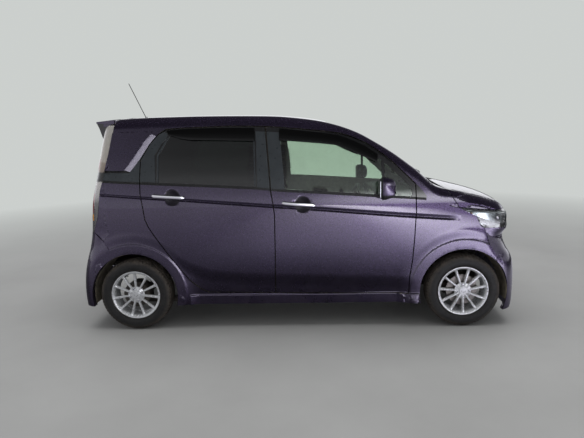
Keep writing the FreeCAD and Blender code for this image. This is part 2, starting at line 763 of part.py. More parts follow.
front_bumper = front_bumper.fuse(rod(tow_mouth - V(64, 0, 0), tow_mouth, size("tow_hole") + 11))
front_bumper = front_bumper.cut(rod(tow_mouth, tow_mouth + V(60, 0, 0), size("tow_hole") + 14))
front_bumper = front_bumper.cut(rod(tow_mouth - V(50, 0, 0), tow_mouth + V(1, 0, 0), size("tow_hole")))
piece("front_bumper", front_bumper)
piece("cowl", height_slab(1014, 1090, 591.7 * HALF_WIDTH / 737.5, 8, 14, 14))


# Tail: tailgate with its glass and spoiler, tail lamps and rear bumper.
TAILGATE_EDGE = [(588, 604), (590, 781), (585, 960), (574, 1096), (548, 1250), (520, 1400), (494, 1520), (478, 1592)]
REAR_GLASS = [(505, 1092), (496, 1160), (470, 1340), (446, 1450), (428, 1492), (380, 1506)]
tail_scale = HALF_WIDTH / 737.5
edge_right = [(-y * tail_scale, bz(z)) for y, z in TAILGATE_EDGE]
gate_outline = edge_right + [(-y, z) for y, z in reversed(edge_right)]
gate_prism = prism_end(offset_outline(gate_outline, -GAP / 2), -3000, bx(-1300))
gate_space = prism_end(offset_outline(gate_outline, GAP / 2), -3000, bx(-1300))
glass_right = [(-y * tail_scale, bz(z)) for y, z in REAR_GLASS]
rear_glass_outline = glass_right + [(-y, z) for y, z in reversed(glass_right)]
rear_glass_prism = prism_end(rear_glass_outline, -3000, bx(-1300))
tail_sides = prism_side(built(SIDE_FRAME), -900, 900)
tailgate = tail_band.common(gate_prism).cut(rear_glass_prism)
piece("tailgate", tailgate)
piece("window_tailgate", tail_glass_band.common(rear_glass_prism))
tail_half = tail_band.common(block(-3000, bx(-1300), -900, -200, 0, 2000))
lamp_space = block(-3000, bx(-1300), -900, -200, bz(781), bz(1580))
tail_lamp = tail_half.common(lamp_space).cut(gate_space).cut(tail_sides)
pair("tail_lamp", tail_lamp)
rear_bumper = tail_band.common(block(-3000, bx(-1380), -900, 900, bz(196), bz(779))).cut(gate_space)
rear_bumper = rear_bumper.cut(tail_sides)
rear_bumper = rear_bumper.cut(Part.makeCylinder(ARCH, 1800, V(-HALF_BASE, -900, AXLE_Z), V(0, 1, 0)))
gate_foot = tail_band.common(gate_prism).optimalBoundingBox(True, False).ZMin
gate_lock = block(tail(0, gate_foot) + 8, tail(0, gate_foot) + 40, -30, 30, gate_foot - 20, gate_foot - 0.3)
rear_bumper = rear_bumper.fuse(gate_lock)
piece("rear_bumper", rear_bumper)

SPOILER_HALF = 512 * HALF_WIDTH / 737.5


def spoiler_rows():
    over = []
    under = []
    for i in range(9):
        u = i / 8
        x = bx(-1398) + (bx(-1556) - bx(-1398)) * u
        row = [SPOILER_HALF * (k / 6 - 1) for k in range(13)]
        bow = [18 * (y / SPOILER_HALF) ** 2 * u for y in row]
        over.append([V(x + b, y, top(x, y) - 2 * u) for y, b in zip(row, bow)])
        under.append([V(x + b, y, top(x, y) - 34 + 20 * u) for y, b in zip(row, bow)])
    return over, under


spoiler_foot = block(bx(-1500), bx(-1440), -SPOILER_HALF + 40, SPOILER_HALF - 40, bz(1575), bz(1616))
piece("spoiler", slab(*spoiler_rows()).fuse(spoiler_foot).cut(tailgate))


# Floor, firewall and wheel houses in one pressed floor pan.
def word_expression(text):
    """Expression text with each word of the sheet made a reference to it."""
    names = [name for name, value, note in SIZES]
    result = []
    word = ""
    for letter in text + " ":
        if letter.isalnum() or letter == "_":
            word += letter
            continue
        result.append("Sizes." + word if word in names else word)
        word = ""
        result.append(letter)
    return "".join(result).strip()


def solid_box(name, x0, x1, y0, y1, z0, z1):
    """Part::Box whose corners are bound to the sheet; each bound is an expression text."""
    thing = doc.addObject("Part::Box", name)
    for key, low, high in (("Length", x0, x1), ("Width", y0, y1), ("Height", z0, z1)):
        thing.setExpression(key, word_expression("(%s) - (%s)" % (high, low)))
    for key, low in (("x", x0), ("y", y0), ("z", z0)):
        thing.setExpression(".Placement.Base." + key, word_expression(low))
    return thing


def solid_rod(name, x, y, z, length, radius, way):
    """Part::Cylinder from a point along +X, +Y or +Z, bound to the sheet."""
    thing = doc.addObject("Part::Cylinder", name)
    thing.setExpression("Radius", word_expression(radius))
    thing.setExpression("Height", word_expression(length))
    turns = {"x": (V(0, 1, 0), 90), "y": (V(1, 0, 0), -90), "z": (V(0, 0, 1), 0)}
    axis, angle = turns[way]
    thing.Placement = FreeCAD.Placement(V(0, 0, 0), FreeCAD.Rotation(axis, angle))
    for key, value in (("x", x), ("y", y), ("z", z)):
        thing.setExpression(".Placement.Base." + key, word_expression(value))
    return thing


SHIFT_TEXT = "(rear_overhang - front_overhang) / 2"


def whole(node, parts, less=()):
    """Fuse of parts, less others, kept as a node and moved with the body."""
    if len(parts) > 1:
        base = doc.addObject("Part::MultiFuse", node + "_body")
        base.Shapes = parts
    else:
        base = parts[0]
    for number, cutter in enumerate(less):
        cut = doc.addObject("Part::Cut", "%s_cut%d" % (node, number))
        cut.Base = base
        cut.Tool = cutter
        base = cut
    base.Label = node
    if base.TypeId in ("Part::MultiFuse", "Part::Cut"):
        base.setExpression(".Placement.Base.x", word_expression(SHIFT_TEXT))
    else:
        held = "(%s) + (%s)" % (dict(base.ExpressionEngine)[".Placement.Base.x"], word_expression(SHIFT_TEXT))
        base.setExpression(".Placement.Base.x", held)
    NODES.append(base)
    return base


floor_front = solid_box(
    "floor_front", "-floor_step_x", "firewall_x - 60", "-sill_inner", "sill_inner", "floor_top - floor_wall", "floor_top"
)
floor_toe = solid_box(
    "floor_toe", "firewall_x - 60", "firewall_x", "-house_inner", "house_inner", "floor_top - floor_wall", "floor_top"
)
floor_step = solid_box(
    "floor_step", "-floor_step_x - floor_wall", "-floor_step_x", "-sill_inner", "sill_inner",
    "floor_top - floor_wall", "rear_floor_top",
)
floor_rear = solid_box(
    "floor_rear", "-wheelbase / 2 - 330", "-floor_step_x", "-house_inner", "house_inner",
    "rear_floor_top - floor_wall", "rear_floor_top",
)
firewall = solid_box(
    "firewall", "firewall_x - floor_wall", "firewall_x", "-house_inner", "house_inner",
    "floor_top - floor_wall", "firewall_top",
)
whole("floor_pan", [floor_front, floor_toe, floor_step, floor_rear, firewall])

engine = solid_box(
    "engine_block", "wheelbase / 2 - 130", "wheelbase / 2 + 230", "-engine_half", "engine_half",
    "engine_low", "engine_high",
)
whole("engine", [engine])

# Running gear. HUB is the mounting face of a wheel, outboard of its middle plane.
def hub_rod(name, x, sign, out0, out1, radius):
    """Rod along the wheel axis between two distances outboard of the wheel's middle plane."""
    low, high = (out0, out1) if sign > 0 else ("-(%s)" % out1, "-(%s)" % out0)
    middle = "track / 2" if sign > 0 else "-track / 2"
    return solid_rod(name, x, "%s + (%s)" % (middle, low), "tyre_radius", "(%s) - (%s)" % (high, low), radius, "y")


beam = solid_rod(
    "axle_beam", "-wheelbase / 2 + 50", "-track / 2 + 60", "tyre_radius", "track - 120", "beam_radius", "y"
)
rear_parts = [beam]
for side_name, sign in (("right", -1), ("left", 1)):
    s = "-" if sign < 0 else ""
    rear_parts.append(hub_rod("drum_" + side_name, "-wheelbase / 2", sign, "-60", "hub_face - 4", "drum_radius"))
    rear_parts.append(hub_rod("rear_flange_" + side_name, "-wheelbase / 2", sign, "0", "hub_face - 0.5", "64"))
    rear_parts.append(
        hub_rod("rear_spigot_" + side_name, "-wheelbase / 2", sign, "0", "hub_face + 12", "hub_radius")
    )
    low, high = ("-540", "-500") if sign < 0 else ("500", "540")
    rear_parts.append(solid_box(
        "trailing_arm_" + side_name, "-wheelbase / 2", "-floor_step_x + 60", low, high,
        "floor_top - floor_wall - 40", "floor_top - floor_wall",
    ))
    rear_parts.append(solid_box(
        "arm_root_" + side_name, "-wheelbase / 2 - 20", "-wheelbase / 2 + 70", low, high,
        "floor_top - floor_wall - 40", "tyre_radius + 20",
    ))
whole("rear_axle", rear_parts)

subframe = [solid_box(
    "cross_member", "wheelbase / 2 - 110", "wheelbase / 2 + 60", "-400", "400", "engine_low - 62", "engine_low"
)]
subframe.append(solid_box(
    "subframe_link", "firewall_x - 200", "wheelbase / 2 - 100", "-260", "260", "engine_low - 62", "floor_top - floor_wall"
))
for side_name, sign in (("right", -1), ("left", 1)):
    low, high = ("-steer_axis_y - 20", "-390") if sign < 0 else ("390", "steer_axis_y + 20")
    subframe.append(solid_box(
        "lower_arm_" + side_name, "wheelbase / 2 - 24", "wheelbase / 2 + 24", low, high, "arm_low", "arm_low + 24"
    ))
    subframe.append(solid_box(
        "arm_mount_" + side_name, "wheelbase / 2 - 60", "wheelbase / 2 + 40",
        "-400" if sign < 0 else "360", "-360" if sign < 0 else "400", "arm_low", "engine_low - 50",
    ))
    subframe.append(solid_rod(
        "ball_stud_" + side_name, "wheelbase / 2", "steer_axis_y" if sign > 0 else "-steer_axis_y", "arm_low + 20",
        "40", "stud_radius", "z",
    ))
whole("front_subframe", subframe)

for side_name, sign in (("right", -1), ("left", 1)):
    y = "steer_axis_y" if sign > 0 else "-steer_axis_y"
    upright = solid_rod("upright_" + side_name, "wheelbase / 2", y, "arm_low + 27", "190", "26", "z")
    carrier = hub_rod("carrier_" + side_name, "wheelbase / 2", sign, "-track / 2 + steer_axis_y", "10", "46")
    disc = hub_rod("disc_" + side_name, "wheelbase / 2", sign, "8", "20", "disc_radius")
    flange = hub_rod("flange_" + side_name, "wheelbase / 2", sign, "8", "hub_face - 0.5", "64")
    spigot = hub_rod("spigot_" + side_name, "wheelbase / 2", sign, "8", "hub_face + 12", "hub_radius")
    socket = solid_rod("socket_" + side_name, "wheelbase / 2", y, "arm_low + 20", "41", "stud_radius + fit", "z")
    whole("knuckle_" + side_name, [upright, carrier, disc, flange, spigot], [socket])


# Wheels: a tyre and a pressed rim with openings between its spokes.
def plane_of(body, role):
    for thing in body.Origin.OriginFeatures:
        if thing.Role == role:
            return thing
    return None


def profile(body, name, role, points):
    """Closed sketch of straight lines whose corners are bound to the sheet."""
    sketch = body.newObject("Sketcher::SketchObject", name)
    sketch.AttachmentSupport = [(plane_of(body, role), "")]
    sketch.MapMode = "FlatFace"
    count = len(points)
    values = [(eval_text(a), eval_text(b)) for a, b in points]
    for k in range(count):
        a = values[k]
        b = values[(k + 1) % count]
        sketch.addGeometry(Part.LineSegment(V(a[0], a[1], 0), V(b[0], b[1], 0)), False)
    for k in range(count):
        sketch.addConstraint(Sketcher.Constraint("Coincident", k, 2, (k + 1) % count, 1))
    for k, (a, b) in enumerate(points):
        for kind, value, text in (("DistanceX", values[k][0], a), ("DistanceY", values[k][1], b)):
            index = sketch.addConstraint(Sketcher.Constraint(kind, k, 1, value))
            if abs(value) > 1e-9:
                sketch.setExpression("Constraints[%d]" % index, word_expression(text))
    return sketch


def eval_text(text):
    """Value of an expression text, read back from a cell of the sheet."""
    sheet.set("E1", "=" + word_expression(text).replace("Sizes.", ""))
    sheet.recompute()
    return float(sheet.get("E1"))


TYRE = [
    ("-rim_width / 2", "bead_radius"),
    ("-rim_width / 2", "rim_radius + 1"),
    ("-tyre_width / 2", "(bead_radius + tyre_radius) / 2 - 2"),
    ("-tyre_width / 2 + 6", "tyre_radius - 22"),
    ("-tread_width / 2 - 4", "tyre_radius - 6"),
    ("-tread_width / 2 + 8", "tyre_radius - 1"),
    ("-tread_width / 4", "tyre_radius"),
    ("tread_width / 4", "tyre_radius"),
    ("tread_width / 2 - 8", "tyre_radius - 1"),
    ("tread_width / 2 + 4", "tyre_radius - 6"),
    ("tyre_width / 2 - 6", "tyre_radius - 22"),
    ("tyre_width / 2", "(bead_radius + tyre_radius) / 2 - 2"),
    ("rim_width / 2", "rim_radius + 1"),
    ("rim_width / 2", "bead_radius"),
]
RIM = [
    ("-rim_width / 2 - 9", "rim_radius - 2"),
    ("-rim_width / 2 - 6", "rim_radius"),
    ("-rim_width / 2", "rim_radius - 4"),
    ("-rim_width / 2", "bead_radius"),
    ("rim_width / 2", "bead_radius"),
    ("rim_width / 2", "rim_radius - 4"),
    ("rim_width / 2 + 6", "rim_radius"),
    ("rim_width / 2 + 9", "rim_radius - 2"),
    ("rim_width / 2 + 6", "bead_radius - 10"),
    ("rim_width / 2 - 20", "bead_radius - 16"),
    ("-hub_face + 10", "bead_radius - 18"),
    ("-hub_face + 3", "window_outer - 6"),
    ("-hub_face", "70"),
    ("-hub_face", "hub_radius + fit"),
    ("-hub_face - 12.5", "hub_radius + fit"),
    ("-hub_face - 12.5", "0"),
    ("-hub_face - 21", "0"),
    ("-hub_face - 21", "27"),
    ("-hub_face - 13", "32"),
    ("-hub_face - 13", "window_inner"),
    ("-hub_face - 16", "window_outer - 20"),
    ("-rim_width / 2 - 5", "bead_radius - 8"),
]
WINDOW = [
    ("window_inner * sin(180 / spokes - 6)", "window_inner * cos(180 / spokes - 6)"),
    ("window_outer * sin(180 / spokes - 3.2)", "window_outer * cos(180 / spokes - 3.2)"),
    ("-window_outer * sin(180 / spokes - 3.2)", "window_outer * cos(180 / spokes - 3.2)"),
    ("-window_inner * sin(180 / spokes - 6)", "window_inner * cos(180 / spokes - 6)"),
]


def revolved(node, points):
    body = doc.addObject("PartDesign::Body", node)
    sketch = profile(body, node + "_profile", "YZ_Plane", points)
    turn = body.newObject("PartDesign::Revolution", node + "_turn")
    turn.Profile = sketch
    turn.ReferenceAxis = (sketch, ["H_Axis"])
    turn.Angle = 360
    body.Tip = turn
    return body


def stand(body, node, x, y, left):
    """Put a wheel piece at its axle, outer face outward."""
    body.Label = node
    angle = 180 if left else 0
    body.Placement = FreeCAD.Placement(V(0, 0, 0), FreeCAD.Rotation(V(0, 0, 1), angle))
    body.setExpression(".Placement.Base.x", word_expression("%s + %s" % (x, SHIFT_TEXT)))
    body.setExpression(".Placement.Base.y", word_expression(y))
    body.setExpression(".Placement.Base.z", word_expression("tyre_radius"))
    NODES.append(body)


for place, x in (("front", "wheelbase / 2"), ("rear", "-wheelbase / 2")):
    for side_name, y in (("right", "-track / 2"), ("left", "track / 2")):
        left = side_name == "left"
        tyre = revolved("tyre_%s_%s" % (place, side_name), TYRE)
        stand(tyre, "tyre_%s_%s" % (place, side_name), x, y, left)
        node = "rim_%s_%s" % (place, side_name)
        rim = revolved(node, RIM)
        window_sketch = profile(rim, node + "_window", "XZ_Plane", WINDOW)
        opening = rim.newObject("PartDesign::Pocket", node + "_opening")
        opening.Profile = window_sketch
        opening.Type = "ThroughAll"
        opening.Midplane = True
        ring = rim.newObject("PartDesign::PolarPattern", node + "_openings")
        ring.Originals = [opening]
        ring.Axis = (window_sketch, ["N_Axis"])
        ring.Angle = 360
        ring.Occurrences = 11
        ring.setExpression("Occurrences", "Sizes.spokes")
        rim.Tip = ring
        stand(rim, node, x, y, left)


# Seats, dashboard and steering wheel.
def tilted(thing, angle):
    place = thing.Placement
    thing.Placement = FreeCAD.Placement(place.Base, FreeCAD.Rotation(V(0, 1, 0), angle))
    return thing


for side_name, sign in (("right", "-"), ("left", "")):
    y0 = "%sseat_y - seat_width / 2" % sign
    y1 = "%sseat_y + seat_width / 2" % sign
    cushion = solid_box("cushion_" + side_name, "seat_front_x - 500", "seat_front_x", y0, y1, "seat_top - 150", "seat_top")
    stand_box = solid_box(
        "seat_stand_" + side_name, "seat_front_x - 440", "seat_front_x - 60", y0 + " + 50", y1 + " - 50",
        "floor_top", "seat_top - 150",
    )
    back = tilted(solid_box(
        "back_" + side_name, "seat_front_x - 545", "seat_front_x - 425", y0, y1, "seat_top - 60", "seat_top + 540"
    ), -14)
    rest = tilted(solid_box(
        "headrest_" + side_name, "seat_front_x - 672", "seat_front_x - 582",
        "%sseat_y - 125" % sign, "%sseat_y + 125" % sign, "seat_top + 560", "seat_top + 740",
    ), -10)
    posts = tilted(solid_box(
        "posts_" + side_name, "seat_front_x - 640", "seat_front_x - 620",
        "%sseat_y - 60" % sign, "%sseat_y + 60" % sign, "seat_top + 480", "seat_top + 600",
    ), -12)
    whole("seat_front_" + side_name, [cushion, stand_box, back, rest, posts])

bench = [
    solid_box("bench_cushion", "bench_front_x - 440", "bench_front_x", "-bench_half", "bench_half",
              "bench_top - 130", "bench_top"),
    solid_box("bench_stand", "-floor_step_x + 10", "bench_front_x - 60", "-bench_half + 60", "bench_half - 60",
              "floor_top", "bench_top - 130"),
    tilted(solid_box("bench_back", "bench_front_x - 500", "bench_front_x - 390", "-bench_half", "bench_half",
                     "bench_top - 40", "bench_top + 470"), -14),
]
for side_name, sign in (("right", "-"), ("left", "")):
    bench.append(tilted(solid_box(
        "bench_rest_" + side_name, "bench_front_x - 615", "bench_front_x - 535",
        "%s300 - 110" % sign, "%s300 + 110" % sign, "bench_top + 440", "bench_top + 600",
    ), -10))
whole("seat_rear", bench)

dash = [
    solid_box("dash_top", "dash_x", "firewall_x - floor_wall", "-dash_half", "dash_half", "dash_top_z - 200", "dash_top_z"),
    solid_box("dash_centre", "dash_x + 20", "firewall_x - floor_wall", "-140", "140", "floor_top", "dash_top_z - 150"),
]
whole("dashboard", dash)

column_way = V(math.cos(math.radians(size("column_tilt"))), 0, -math.sin(math.radians(size("column_tilt"))))
wheel_centre = V(size("wheel_x"), -size("seat_y"), size("wheel_z"))


def steering_piece(node, shapes, less=()):
    shape = shapes[0]
    if len(shapes) > 1:
        shape = shapes[0].fuse(list(shapes[1:]))
    for cutter in less:
        shape = shape.cut(cutter)
    return piece(node, shape)


column = rod(wheel_centre + column_way * 60, wheel_centre + column_way * 420, 28)
column = column.fuse(rod(wheel_centre + column_way * 30, wheel_centre + column_way * 100, 12))
column = column.cut(block(size("dash_x"), 3000, -900, 900, 0, 3000))
piece("steering_column", column)
hoop = Part.makeTorus(size("wheel_rim_radius"), 14, wheel_centre, column_way)
hub = rod(wheel_centre - column_way * 12, wheel_centre + column_way * 45, 46)
rim_reach = size("wheel_rim_radius") - 4
down = column_way.cross(V(0, 1, 0))
if down.z > 0:
    down = down * -1
spokes_out = []
for way in (V(0, 1, 0), V(0, -1, 0), down):
    spokes_out.append(rod(wheel_centre + way * 20, wheel_centre + way * rim_reach, 11))
socket = rod(wheel_centre + column_way * 29.5, wheel_centre + column_way * 46, 12 + size("fit"))
steering_piece("steering_wheel", [hoop, hub] + spokes_out, [socket])

# Door mirrors on the right and left front doors.
mirror_centre = V(bx(660), -(HALF_WIDTH + size("mirror_reach")), bz(1100))
housing = Part.makeBox(118, 150, 132, V(bx(660) - 59, mirror_centre.y - 75, bz(1100) - 66))
housing = housing.makeFillet(30, housing.Edges)
arm = block(bx(660) - 45, bx(660) + 50, mirror_centre.y - 10, -700 * HALF_WIDTH / 737.5, bz(990), bz(1018))
arm = arm.fuse(block(bx(660) - 45, bx(660) + 50, mirror_centre.y - 10, mirror_centre.y + 35, bz(990), bz(1070)))
mirror = housing.fuse(arm).cut(door_front_whole)
pair("mirror", mirror)

# Aerial on the roof.
foot = V(bx(-1310), 0, top(bx(-1310), 0))
lean = V(-math.sin(math.radians(24)), 0, math.cos(math.radians(24)))
aerial = Part.makeCone(17, 9, 22, foot - V(0, 0, 6), V(0, 0, 1)).fuse(rod(foot, foot + lean * size("aerial_length"), 3))
aerial = aerial.cut(roof_shape)
piece("aerial", aerial)

doc.recompute()
failed = [thing.Name for thing in doc.Objects if "Invalid" in thing.State or "Error" in thing.State]
if failed:
    raise ValueError("failed objects: " + ", ".join(failed))
os.makedirs("parts", exist_ok=True)
for thing in NODES:
    shape = thing.Shape
    if shape.isNull() or not shape.isValid() or not shape.Solids:
        raise ValueError("bad shape: " + thing.Label)
    shape.exportStep("parts/" + thing.Label + ".step")
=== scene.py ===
import json
import math

import bmesh
import bpy
import numpy as np
from mathutils import Matrix, Vector


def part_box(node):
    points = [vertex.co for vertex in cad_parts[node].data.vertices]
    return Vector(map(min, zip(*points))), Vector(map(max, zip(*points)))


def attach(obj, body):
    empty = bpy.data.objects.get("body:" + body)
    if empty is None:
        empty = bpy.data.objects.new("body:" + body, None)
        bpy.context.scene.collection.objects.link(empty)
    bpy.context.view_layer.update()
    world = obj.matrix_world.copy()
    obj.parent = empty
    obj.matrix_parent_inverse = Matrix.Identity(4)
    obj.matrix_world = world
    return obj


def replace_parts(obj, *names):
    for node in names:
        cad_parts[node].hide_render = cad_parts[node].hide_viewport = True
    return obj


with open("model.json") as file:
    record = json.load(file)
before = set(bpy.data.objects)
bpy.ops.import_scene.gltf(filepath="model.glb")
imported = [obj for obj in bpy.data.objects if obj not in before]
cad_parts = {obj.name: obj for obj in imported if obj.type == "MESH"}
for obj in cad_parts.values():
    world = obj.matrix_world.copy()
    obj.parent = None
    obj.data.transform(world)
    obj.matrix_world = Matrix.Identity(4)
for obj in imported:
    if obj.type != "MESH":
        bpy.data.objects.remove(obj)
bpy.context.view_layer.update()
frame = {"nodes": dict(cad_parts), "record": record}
scene = bpy.context.scene
scene.view_settings.view_transform = "Standard"

# Body shape: the same formulas and sizes as the solid model, in millimetres from the middle of the wheelbase.
SHIFT = -7.5
HALF_BASE = 1260.0
HALF_WIDTH = 737.5
AXLE_Z = 278.5
ARCH = 333.0
FLARE_FACE = 62.0
FLARE_SLOPE = 110.0
GLASS_INSET = 5.0
SIDE = [
    (120, 688), (200, 700), (290, 713), (400, 724), (520, 733), (640, 737.5), (780, 737.5),
    (900, 735), (980, 731), (1060, 721), (1160, 702), (1300, 668), (1400, 643), (1500, 619),
    (1600, 596), (1700, 572),
]
NOSE = [
    (100, 1690), (160, 1701), (250, 1705), (400, 1704), (480, 1698), (540, 1684), (600, 1652),
    (670, 1630), (730, 1634), (800, 1640), (860, 1640), (900, 1640), (1000, 1640),
]
TAIL = [
    (150, -1680), (220, -1688), (330, -1690), (460, -1678), (560, -1655), (650, -1626),
    (760, -1602), (900, -1588), (1020, -1575), (1125, -1556), (1210, -1538), (1324, -1522),
    (1450, -1500), (1560, -1476), (1650, -1450),
]
TOP = [
    (-1700, 1622), (-1500, 1636), (-1378, 1645), (-1154, 1653), (-900, 1655), (-717, 1655),
    (-400, 1650), (-132, 1640), (42, 1622), (194, 1598), (346, 1558), (480, 1506), (600, 1440),
    (737, 1355), (872, 1256), (966, 1184), (1020, 1140), (1080, 1102), (1150, 1078),
    (1240, 1058), (1340, 1034), (1450, 1006), (1540, 977), (1600, 948), (1650, 905),
    (1690, 850), (1720, 780),
]


def smooth(points, x):
    """Cubic through points, held level past both ends."""
    px = np.array([p[0] for p in points], float)
    py = np.array([p[1] for p in points], float)
    slope = np.empty(len(px))
    slope[1:-1] = (py[2:] - py[:-2]) / (px[2:] - px[:-2])
    slope[0] = (py[1] - py[0]) / (px[1] - px[0])
    slope[-1] = (py[-1] - py[-2]) / (px[-1] - px[-2])
    x = np.clip(np.asarray(x, float), px[0], px[-1])
    k = np.clip(np.searchsorted(px, x, side="left") - 1, 0, len(px) - 2)
    step = px[k + 1] - px[k]
    u = (x - px[k]) / step
    h00 = 2 * u ** 3 - 3 * u ** 2 + 1
    h10 = u ** 3 - 2 * u ** 2 + u
    h01 = -2 * u ** 3 + 3 * u ** 2
    h11 = u ** 3 - u ** 2
    return h00 * py[k] + h10 * step * slope[k] + h01 * py[k + 1] + h11 * step * slope[k + 1]


def line(x, x0, x1, y0, y1):
    return y0 + (y1 - y0) * np.clip((np.asarray(x, float) - x0) / (x1 - x0), 0, 1)


def half_side(x, z):
    x = np.asarray(x, float)
    z = np.asarray(z, float)
    taper = 14.0 * np.minimum(1.0, np.abs(x) / 1500.0) ** 4
    plain = smooth(SIDE, z) - taper
    away = np.hypot(np.abs(x) - HALF_BASE, z - AXLE_Z) - ARCH
    u = np.clip((away - FLARE_FACE) / FLARE_SLOPE, 0, 1)
    return plain + (HALF_WIDTH - 1 - plain) * (1 - u * u * (3 - 2 * u))


def top(x, y):
    x = np.asarray(x, float)
    across = np.abs(y) / HALF_WIDTH
    ahead = line(x, 900, 1300, 0, 88)
    crown = line(x, 1000, 1150, 38, 20)
    return smooth(TOP, x + ahead * across ** 2) - crown * across ** 2


def nose(y, z):
    across = np.abs(y) / HALF_WIDTH
    return smooth(NOSE, z) - line(z, 500, 800, 52, 80) * across ** 2


def tail(y, z):
    across = np.abs(y) / HALF_WIDTH
    return smooth(TAIL, z) + 16 * across ** 2


def rounded(a, b, radius):
    u = radius - a
    v = radius - b
    corner = (u > 0) & (v > 0)
    return np.where(corner, radius - np.hypot(u, v), np.minimum(a, b))


def inside(x, y, z, ends=True):
    """Depth below the outer surface of the body."""
    x = np.asarray(x, float)
    y = np.asarray(y, float)
    z = np.asarray(z, float)
    edge = line(x, 900, 1200, 72, 46)
    roof = top(x, y)
    depth = rounded(half_side(x, z) - np.abs(y), roof - z, edge)
    if ends:
        front_round = np.where(z < roof - 200, line(z, 500, 850, 150, 190), 60.0)
        front = rounded(depth, nose(y, z) - x, front_round)
        rear = rounded(depth, x - tail(y, z), 100.0)
        depth = np.where(x > 1000, front, np.where(x < -1000, rear, depth))
    return depth


def outward(points):
    """Unit normals of the body surface at points in metres of the row frame."""
    p = np.asarray(points, float) * 1000.0
    x = p[:, 0] - SHIFT
    y = p[:, 1]
    z = p[:, 2]
    h = 0.4
    g = np.stack([
        inside(x + h, y, z) - inside(x - h, y, z),
        inside(x, y + h, z) - inside(x, y - h, z),
        inside(x, y, z + h) - inside(x, y, z - h),
    ], axis=1)
    size = np.linalg.norm(g, axis=1, keepdims=True)
    return -g / np.maximum(size, 1e-9)


def make(name, verts, faces, material=None, smooth_faces=True):
    mesh = bpy.data.meshes.new(name)
    mesh.from_pydata([tuple(v) for v in verts], [], faces)
    mesh.validate()
    mesh.update()
    obj = bpy.data.objects.new(name, mesh)
    scene.collection.objects.link(obj)
    if smooth_faces:
        mesh.polygons.foreach_set("use_smooth", [True] * len(mesh.polygons))
    if material is not None:
        mesh.materials.append(material)
    return obj

# Procedural node trees of the materials and of the world.
class Nodes:
    """A small helper that builds one node tree."""

    def __init__(self, owner, output="OutputMaterial", coords="Object"):
        owner.use_nodes = True
        self.owner = owner
        self.tree = owner.node_tree
        self.tree.nodes.clear()
        self.out = self.add(output)
        self.coords = self.add("TexCoord").outputs[coords]

    def add(self, kind, sockets=(), **settings):
        """Node of a kind, with its sockets fed in order or by name."""
        node = self.tree.nodes.new("ShaderNode" + kind)
        for key, value in settings.items():
            setattr(node, key, value)
        for key, value in sockets.items() if isinstance(sockets, dict) else enumerate(sockets):
            self.feed(node.inputs[key], value)
        return node

    def feed(self, socket, value):
        """Link a socket to a node or an output, or set its own value."""
        if isinstance(value, bpy.types.Node):
            value = value.outputs[0]
        if isinstance(value, bpy.types.NodeSocket):
            self.tree.links.new(value, socket)
        elif isinstance(value, tuple) and socket.type == "RGBA":
            socket.default_value = (*value, 1.0)
        else:
            socket.default_value = value

    def noise(self, scale, detail=3.0, rough=0.5):
        sockets = {"Vector": self.coords, "Scale": scale, "Detail": detail, "Roughness": rough}
        return self.add("TexNoise", sockets).outputs["Fac"]

    def wave(self, direction, scale, distortion):
        sockets = {"Vector": self.coords, "Scale": scale, "Distortion": distortion}
        return self.add("TexWave", sockets, wave_type="BANDS", bands_direction=direction).outputs["Fac"]

    def ramp(self, value, stops):
        node = self.add("ValToRGB", [value])
        elements = node.color_ramp.elements
        while len(elements) < len(stops):
            elements.new(0.5)
        for element, (place, colour) in zip(elements, stops):
            element.position = place
            element.color = (*colour, 1.0)
        return node.outputs["Color"]

    def range(self, value, low, high, to_low=0.0, to_high=1.0, kind="LINEAR"):
        return self.add("MapRange", [value, low, high, to_low, to_high], interpolation_type=kind).outputs[0]

    def drift(self, scale, detail=3.0, rough=0.5, low=0.0, high=1.0, start=0.3, end=0.7):
        """Noise stretched to a range."""
        return self.range(self.noise(scale, detail, rough), start, end, low, high)

    def maths(self, kind, result, *others):
        """Values joined one after the other by an operation."""
        for other in others:
            result = self.add("Math", [result, other], operation=kind).outputs[0]
        return result

    def times(self, *values):
        return self.maths("MULTIPLY", *values)

    def mix(self, fac, a, b, blend="MIX"):
        return self.add("Mix", {0: fac, 6: a, 7: b}, data_type="RGBA", blend_type=blend).outputs[2]

    def axis(self, which):
        return self.add("SeparateXYZ", [self.coords]).outputs["XYZ".index(which)]

    def bump(self, height, strength, distance, normal=None):
        sockets = {"Strength": strength, "Distance": distance, "Height": height}
        if normal is not None:
            sockets["Normal"] = normal
        return self.add("Bump", sockets).outputs["Normal"]

    def done(self, shader):
        self.feed(self.out.inputs["Surface"], shader)
        return self.owner

    def principled(self, **values):
        return self.add("BsdfPrincipled", {key.replace("_", " "): value for key, value in values.items()})


def material(name):
    return Nodes(bpy.data.materials.new(name))


def darker(colour, share):
    return tuple(c * share for c in colour)


def dust_mask(m, top_z, strength):
    """Dust that thickens towards the ground."""
    height = m.range(m.axis("Z"), 0.12, top_z, 1.0, 0.0)
    return m.times(height, m.drift(9.0, 4.0, 0.6, 0.2, 1.0, 0.35), strength)


def paint_material(name, deep, flake):
    m = material(name)
    flakes = m.add("TexVoronoi", {"Vector": m.coords, "Scale": 900.0})
    fleck = m.add("SeparateColor", [flakes.outputs["Color"]])
    colour = m.mix(m.range(fleck, 0.0, 1.0), deep, flake)
    colour = m.mix(m.drift(1.6, 2.0, 0.5, 0.0, 0.25, 0.35, 0.65), colour, darker(deep, 0.7))
    dust = dust_mask(m, 0.55, 0.30)
    rough = m.maths("ADD", m.drift(30.0, low=0.24, high=0.30), m.times(dust, 0.3))
    return m.done(m.principled(Base_Color=m.mix(dust, colour, (0.13, 0.12, 0.125)), Metallic=0.85,
                               Roughness=rough, Coat_Weight=1.0, Coat_Roughness=0.03, Coat_IOR=1.6))


